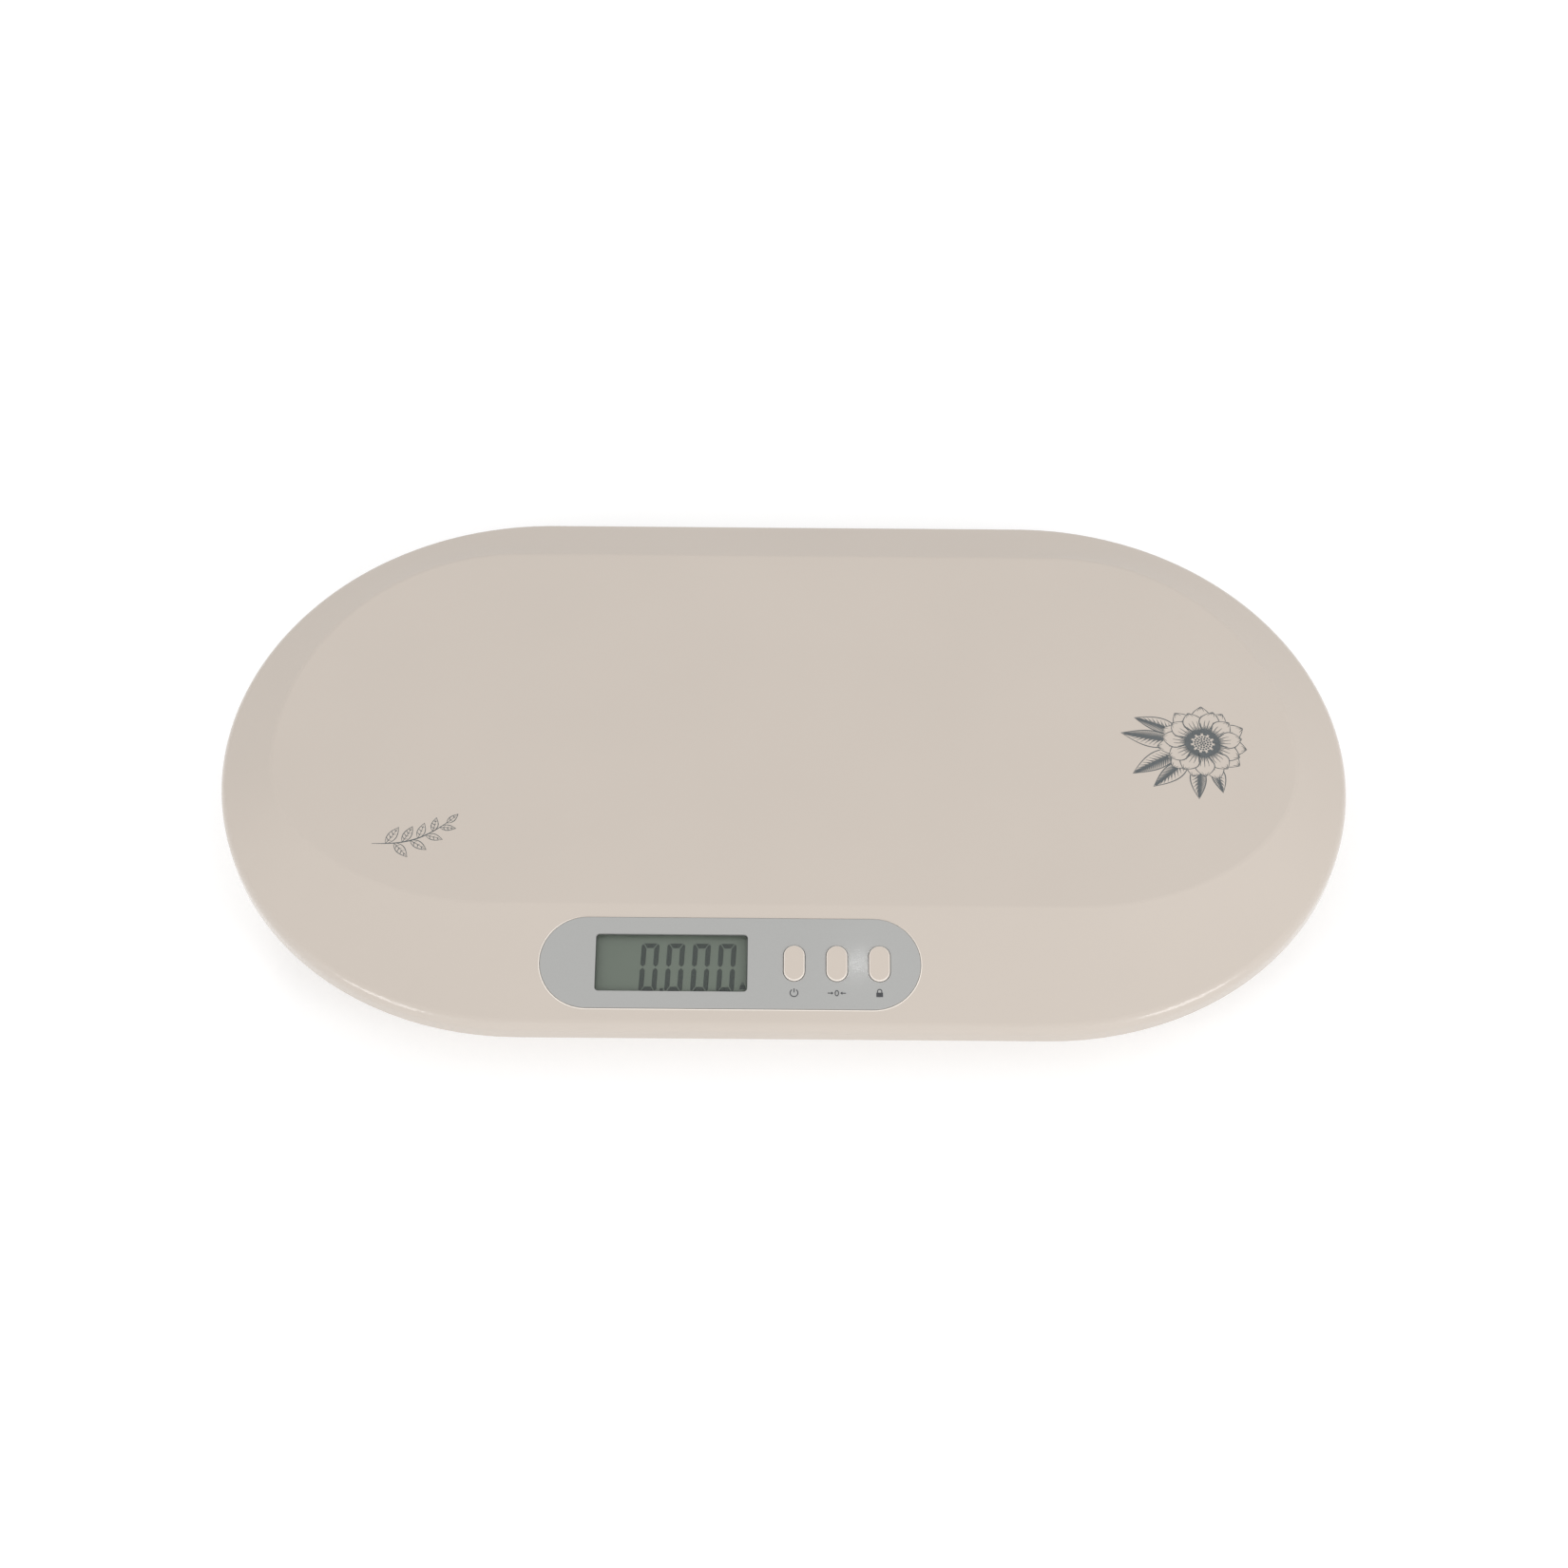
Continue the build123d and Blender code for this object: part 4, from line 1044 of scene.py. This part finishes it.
def draw(mesh, path, widths, in_front=()):
    """Pen stroke on the plateau, left out where a shape in front covers it."""
    run = []
    for point, width in zip(path, widths):
        if any(shape.covers(point) for shape in in_front):
            if len(run) > 1:
                add_stroke(mesh, *zip(*run), plateau_place)
            run = []
        else:
            run.append((point, width))
    if len(run) > 1:
        add_stroke(mesh, *zip(*run), plateau_place)


def draw_edges(mesh, blade, pen, in_front=()):
    """Both edges of a leaf or petal."""
    for side in (-1, 1):
        path = [blade.spot(i / BLADE_STEPS, side) for i in range(BLADE_STEPS + 1)]
        draw(mesh, path, tapered(path, pen), in_front)


def shade_petal(mesh, blade, pen, in_front):
    """Lines that fan out from a petal's foot, where they run together into a dark patch."""
    for i in range(FAN_LINES):
        side = (2 * i / (FAN_LINES - 1) - 1) * FAN_SPREAD
        run = FAN_LENGTH - FAN_SIDE_LOSS * side**2 - (FAN_ODD_LOSS if i % 2 else 0) - FAN_FOOT
        path = [blade.spot(FAN_FOOT + run * k / FAN_STEPS, side) for k in range(FAN_STEPS + 1)]
        draw(mesh, path, fading(path, pen * 1.8, 0.15), in_front)
    for side in TIP_SIDES:
        count = 9 + int(8 * abs(side))
        path = [blade.spot(TIP_START - TIP_STEP * k, side) for k in range(count)]
        draw(mesh, path, fading(path, pen * 0.8, 0.2), in_front)


def shade_leaf(mesh, blade, pen, dark_side, pitch, in_front=()):
    """Midrib and veins, with the half on the dark side hatched closely."""
    rib = [blade.spot(RIB_LENGTH * i / BLADE_STEPS, 0) for i in range(BLADE_STEPS + 1)]
    draw(mesh, rib, fading(rib, pen * 1.3, 0.4), in_front)
    count = int(blade.length / pitch)
    for i in range(1, count):
        share = VEIN_LENGTH * i / count
        dark = (dark_side * DARK_REACH, DARK_WEIGHT)
        light = (-dark_side * LIGHT_REACHES[i % 2], LIGHT_WEIGHT)
        for side, weight in (dark, light):
            steps = [k / VEIN_STEPS for k in range(VEIN_STEPS + 1)]
            path = [blade.spot(share + VEIN_RUN * step, side * step) for step in steps]
            draw(mesh, path, fading(path, pen * weight, 0.25), in_front)


def make_bloom():
    """Large open flower with leaves, at the tray's right end."""
    mesh = bmesh.new()
    for radius, count in HEART_RINGS:
        for i in range(count):
            spot = polar(BLOOM_CENTRE, radius * MM, 360 * i / count + HEART_TWIST * radius)
            add_plate(mesh, circle(spot, DOT_RADIUS, 12), plateau_place)
    in_front = [Disc(BLOOM_CENTRE, HEART_RADIUS)]
    for turn, inner, length, breadth in PETAL_RINGS:
        for i in range(PETALS):
            angle = 360 * (i + turn) / PETALS + PETAL_TURN
            size = length * (1 + 0.05 * sin(4.1 * i + turn))
            foot = polar(BLOOM_CENTRE, inner * MM, angle)
            bend = PETAL_BEND * sin(2.3 * i)
            petal = Blade(foot, angle, size * MM, breadth * MM, PETAL_FULLNESS, bend)
            draw_edges(mesh, petal, BLOOM_PEN, in_front)
            shade_petal(mesh, petal, BLOOM_PEN, in_front)
            in_front.append(petal)
    for angle, length, dark_side in BLOOM_LEAVES:
        foot = polar(BLOOM_CENTRE, BLOOM_LEAF_FOOT, angle)
        breadth = length * BLOOM_LEAF_BREADTH * MM
        bend = BLOOM_LEAF_BEND * dark_side
        leaf = Blade(foot, angle, length * MM, breadth, LEAF_FULLNESS, bend)
        draw_edges(mesh, leaf, BLOOM_PEN, in_front)
        shade_leaf(mesh, leaf, BLOOM_PEN, dark_side, BLOOM_VEIN_PITCH, in_front)
        in_front.append(leaf)
    new_piece("bloom_print", mesh, "casing", motif_ink)


def stem_point(share):
    """Point of the sprig's stem, which bows between its two ends."""
    start, end = SPRIG_ENDS
    run = end - start
    return start + run * share + Vector((-run.y, run.x)) * SPRIG_BOW * sin(pi * share)


def make_sprig():
    """Small sprig with open leaves, at the tray's left end."""
    mesh = bmesh.new()
    stem = [stem_point(i / 20) for i in range(21)]
    draw(mesh, stem, tapered(stem, SPRIG_PEN * 1.6))
    for i in range(SPRIG_LEAVES):
        share = 0.16 + 0.1 * i
        dark_side = 1 if i % 2 == 0 else -1
        lean = 0 if i == SPRIG_LEAVES - 1 else dark_side * (56 - 20 * share)
        foot = stem_point(share)
        ahead = stem_point(share + 0.02) - foot
        angle = degrees(atan2(ahead.y, ahead.x)) + lean
        length = (11.5 - 4.5 * share) * MM
        breadth = length * SPRIG_LEAF_BREADTH
        leaf = Blade(foot, angle, length, breadth, LEAF_FULLNESS, SPRIG_LEAF_BEND * dark_side)
        draw_edges(mesh, leaf, SPRIG_PEN)
        shade_leaf(mesh, leaf, SPRIG_PEN * 0.6, dark_side, SPRIG_VEIN_PITCH)
    new_piece("sprig_print", mesh, "casing", motif_ink)


make_bloom()
make_sprig()


# ---------------------------------------------------------------- raised arrow on the battery door

DOOR_ARROW_INSET = 15 * MM
DOOR_ARROW_RAISE = 4

# outline of the arrow in millimetres, from its tip
DOOR_ARROW = [(0, 0), (-4, 3), (-4, 1.1), (-10, 1.1), (-10, -1.1), (-4, -1.1), (-4, -3)]


def make_door_arrow():
    """Arrow beside the latch that shows which way its finger gives."""
    mesh = bmesh.new()
    low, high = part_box("battery_door")
    tip_x = high.x - DOOR_ARROW_INSET
    middle_y = (low.y + high.y) / 2

    def place(x, y, rise):
        return Vector((tip_x + x, middle_y - y, low.z - DOOR_ARROW_RAISE * rise))

    add_plate(mesh, [(x * MM, y * MM) for x, y in DOOR_ARROW], place)
    new_piece("door_arrow", mesh, "door", cover_material)


make_door_arrow()


# ---------------------------------------------------------------- CAD nodes

for node, material in NODE_MATERIALS.items():
    dress(node, material)


# ---------------------------------------------------------------- floor, world and lamps

FLOOR_HALF = 6.0
SHADOW_REACH = 0.7
FAR_FLOOR = 1.3
FLOOR_GREY = 0.85
FLOOR_SHADE = 0.62
FLOOR_LIFT = 0.47
LEFT_LIFT = 0.53
LEFT_LIFT_START = 0.045
LEFT_LIFT_FULL = 0.015
UNDERGLOW = 0.12
FOOTPRINT_GLOW = 0.38
FOOTPRINT_FADE = 0.04
AMBIENT = 0.71


def seen_directly(tree):
    """One for rays from the camera, a mirror or through glass, nought for all others."""
    path = tree.nodes.new("ShaderNodeLightPath")
    seen = path.outputs["Is Camera Ray"]
    for kind in ("Is Glossy Ray", "Is Transmission Ray"):
        either = tree.nodes.new("ShaderNodeMath")
        either.operation = "MAXIMUM"
        tree.links.new(seen, either.inputs[0])
        tree.links.new(path.outputs[kind], either.inputs[1])
        seen = either.outputs[0]
    return seen


def glow(tree, strength):
    """White light given off by a surface."""
    node = tree.nodes.new("ShaderNodeEmission")
    node.inputs["Strength"].default_value = strength
    return node.outputs[0]


def matt(tree, grey):
    """Plain matt surface."""
    node = tree.nodes.new("ShaderNodeBsdfDiffuse")
    node.inputs["Color"].default_value = (grey, grey, grey, 1)
    return node.outputs[0]


def together(tree, first, second):
    """Two shaders added up."""
    node = tree.nodes.new("ShaderNodeAddShader")
    tree.links.new(first, node.inputs[0])
    tree.links.new(second, node.inputs[1])
    return node.outputs[0]


def between(tree, factor, first, second):
    """First shader where the factor is nought, second where it is one."""
    node = tree.nodes.new("ShaderNodeMixShader")
    tree.links.new(factor, node.inputs["Fac"])
    tree.links.new(first, node.inputs[1])
    tree.links.new(second, node.inputs[2])
    return node.outputs[0]


def far_off(tree):
    """Nought near the object, one well away from it on the table."""
    place = tree.nodes.new("ShaderNodeTexCoord")
    away = tree.nodes.new("ShaderNodeVectorMath")
    away.operation = "LENGTH"
    share = tree.nodes.new("ShaderNodeMapRange")
    share.interpolation_type = "SMOOTHSTEP"
    share.inputs["From Min"].default_value = SHADOW_REACH
    share.inputs["From Max"].default_value = FAR_FLOOR
    tree.links.new(place.outputs["Object"], away.inputs[0])
    tree.links.new(away.outputs["Value"], share.inputs["Value"])
    return share.outputs["Result"]


def beneath(tree):
    """One on the table well under the object, nought outside it."""
    cap_radius = (cad_box[1].y - cad_box[0].y) / 2
    cap_centre = cad_box[1].x - cap_radius
    place = tree.nodes.new("ShaderNodeTexCoord")
    mirrored = tree.nodes.new("ShaderNodeVectorMath")
    mirrored.operation = "ABSOLUTE"
    past_caps = tree.nodes.new("ShaderNodeVectorMath")
    past_caps.operation = "SUBTRACT"
    past_caps.inputs[1].default_value = (cap_centre, 0, 0)
    clipped = tree.nodes.new("ShaderNodeVectorMath")
    clipped.operation = "MAXIMUM"
    clipped.inputs[1].default_value = (0, 0, 0)
    away = tree.nodes.new("ShaderNodeVectorMath")
    away.operation = "LENGTH"
    share = tree.nodes.new("ShaderNodeMapRange")
    share.inputs["From Min"].default_value = cap_radius - FOOTPRINT_FADE
    share.inputs["From Max"].default_value = cap_radius - 2 * FOOTPRINT_FADE
    tree.links.new(place.outputs["Object"], mirrored.inputs[0])
    tree.links.new(mirrored.outputs["Vector"], past_caps.inputs[0])
    tree.links.new(past_caps.outputs["Vector"], clipped.inputs[0])
    tree.links.new(clipped.outputs["Vector"], away.inputs[0])
    tree.links.new(away.outputs["Value"], share.inputs["Value"])
    return share.outputs["Result"]


def lift(tree):
    """White light that thins the shadow on the table, most of all at the object's left end."""
    place = tree.nodes.new("ShaderNodeTexCoord")
    split = tree.nodes.new("ShaderNodeSeparateXYZ")
    strength = tree.nodes.new("ShaderNodeMapRange")
    strength.interpolation_type = "SMOOTHSTEP"
    strength.inputs["From Min"].default_value = cad_box[0].x + LEFT_LIFT_START
    strength.inputs["From Max"].default_value = cad_box[0].x + LEFT_LIFT_FULL
    strength.inputs["To Min"].default_value = FLOOR_LIFT
    strength.inputs["To Max"].default_value = LEFT_LIFT
    light = tree.nodes.new("ShaderNodeEmission")
    tree.links.new(place.outputs["Object"], split.inputs["Vector"])
    tree.links.new(split.outputs["X"], strength.inputs["Value"])
    tree.links.new(strength.outputs["Result"], light.inputs["Strength"])
    return light.outputs[0]


def floor_surface():
    """White table that keeps the object's shadow and can be looked through from below."""
    material = bpy.data.materials.new("white_table")
    material.use_nodes = True
    tree = material.node_tree
    tree.nodes.clear()
    geometry = tree.nodes.new("ShaderNodeNewGeometry")
    clear = tree.nodes.new("ShaderNodeBsdfTransparent")
    output = tree.nodes.new("ShaderNodeOutputMaterial")
    shaded = together(tree, matt(tree, FLOOR_SHADE), lift(tree))
    shown = between(tree, far_off(tree), shaded, glow(tree, 1.0))
    # painted light: for all rays but the camera's the table glows, most of all under the object, to
    # light the object's underside
    under = between(tree, beneath(tree), glow(tree, UNDERGLOW), glow(tree, FOOTPRINT_GLOW))
    lit = together(tree, matt(tree, FLOOR_GREY), under)
    top = between(tree, seen_directly(tree), lit, shown)
    surface = between(tree, geometry.outputs["Backfacing"], top, clear.outputs[0])
    tree.links.new(surface, output.inputs["Surface"])
    return material


def make_floor():
    """Flat table under the scale."""
    mesh = bmesh.new()
    corners = [(-1, -1), (1, -1), (1, 1), (-1, 1)]
    mesh.faces.new([mesh.verts.new((x * FLOOR_HALF, y * FLOOR_HALF, 0)) for x, y in corners])
    data = bpy.data.meshes.new("table")
    mesh.to_mesh(data)
    mesh.free()
    data.materials.append(floor_surface())
    floor = bpy.data.objects.new("table", data)
    bpy.context.scene.collection.objects.link(floor)


def make_world():
    """White surroundings, dimmer as a light than as a backdrop."""
    world = bpy.data.worlds.new("studio")
    world.use_nodes = True
    tree = world.node_tree
    background = tree.nodes["Background"]
    background.inputs["Color"].default_value = (1, 1, 1, 1)
    strength = tree.nodes.new("ShaderNodeMapRange")
    strength.inputs["To Min"].default_value = AMBIENT
    strength.inputs["To Max"].default_value = 1.0
    tree.links.new(seen_directly(tree), strength.inputs["Value"])
    tree.links.new(strength.outputs["Result"], background.inputs["Strength"])
    bpy.context.scene.world = world


def add_lamp(name, place, back, size, distance, level):
    """Soft lamp with its back to a direction; level is the share of white that it gives."""
    data = bpy.data.lights.new(name, "AREA")
    data.shape = "DISK"
    data.size = size
    data.energy = level * pi**2 * distance**2
    lamp = bpy.data.objects.new(name, data)
    lamp.location = place
    lamp.rotation_mode = "QUATERNION"
    lamp.rotation_quaternion = back.to_track_quat("Z", "Y")
    bpy.context.scene.collection.objects.link(lamp)


def make_lamp(name, azimuth, elevation, distance, size, level):
    """Lamp aimed at the tray from an azimuth and elevation."""
    a, e = radians(azimuth), radians(elevation)
    back = Vector((sin(a) * cos(e), -cos(a) * cos(e), sin(e)))
    add_lamp(name, back * distance, back, size, distance, level)


# azimuth, elevation, distance, size and level of each lamp
LAMPS = {
    "front_left_lamp": (-48, 30, 2.6, 1.05, 0.207),
    "front_right_lamp": (50, 30, 2.6, 1.15, 0.246),
    "back_lamp": (-165, 35, 2.6, 1.5, 0.045),
    "right_lamp": (90, 60, 1.4, 1.5, 0.108),
}

GLINT_DISTANCE = 2.2
GLINT_SIZE = 0.02
GLINT_LEVEL = 0.0009


def make_glint_lamp():
    """Small lamp that the panel mirrors to the camera from between the tare and hold keys."""
    spot = (middle("tare_button") + middle("hold_button")) / 2
    to_camera = (bpy.context.scene.camera.location - spot).normalized()
    to_lamp = 2 * to_camera.dot(PANEL_OUT) * PANEL_OUT - to_camera
    place = spot + to_lamp * GLINT_DISTANCE
    add_lamp("glint_lamp", place, to_lamp, GLINT_SIZE, GLINT_DISTANCE, GLINT_LEVEL)


make_floor()
make_world()
for name, spec in LAMPS.items():
    make_lamp(name, *spec)
make_glint_lamp()

bpy.context.scene.view_settings.view_transform = "Standard"
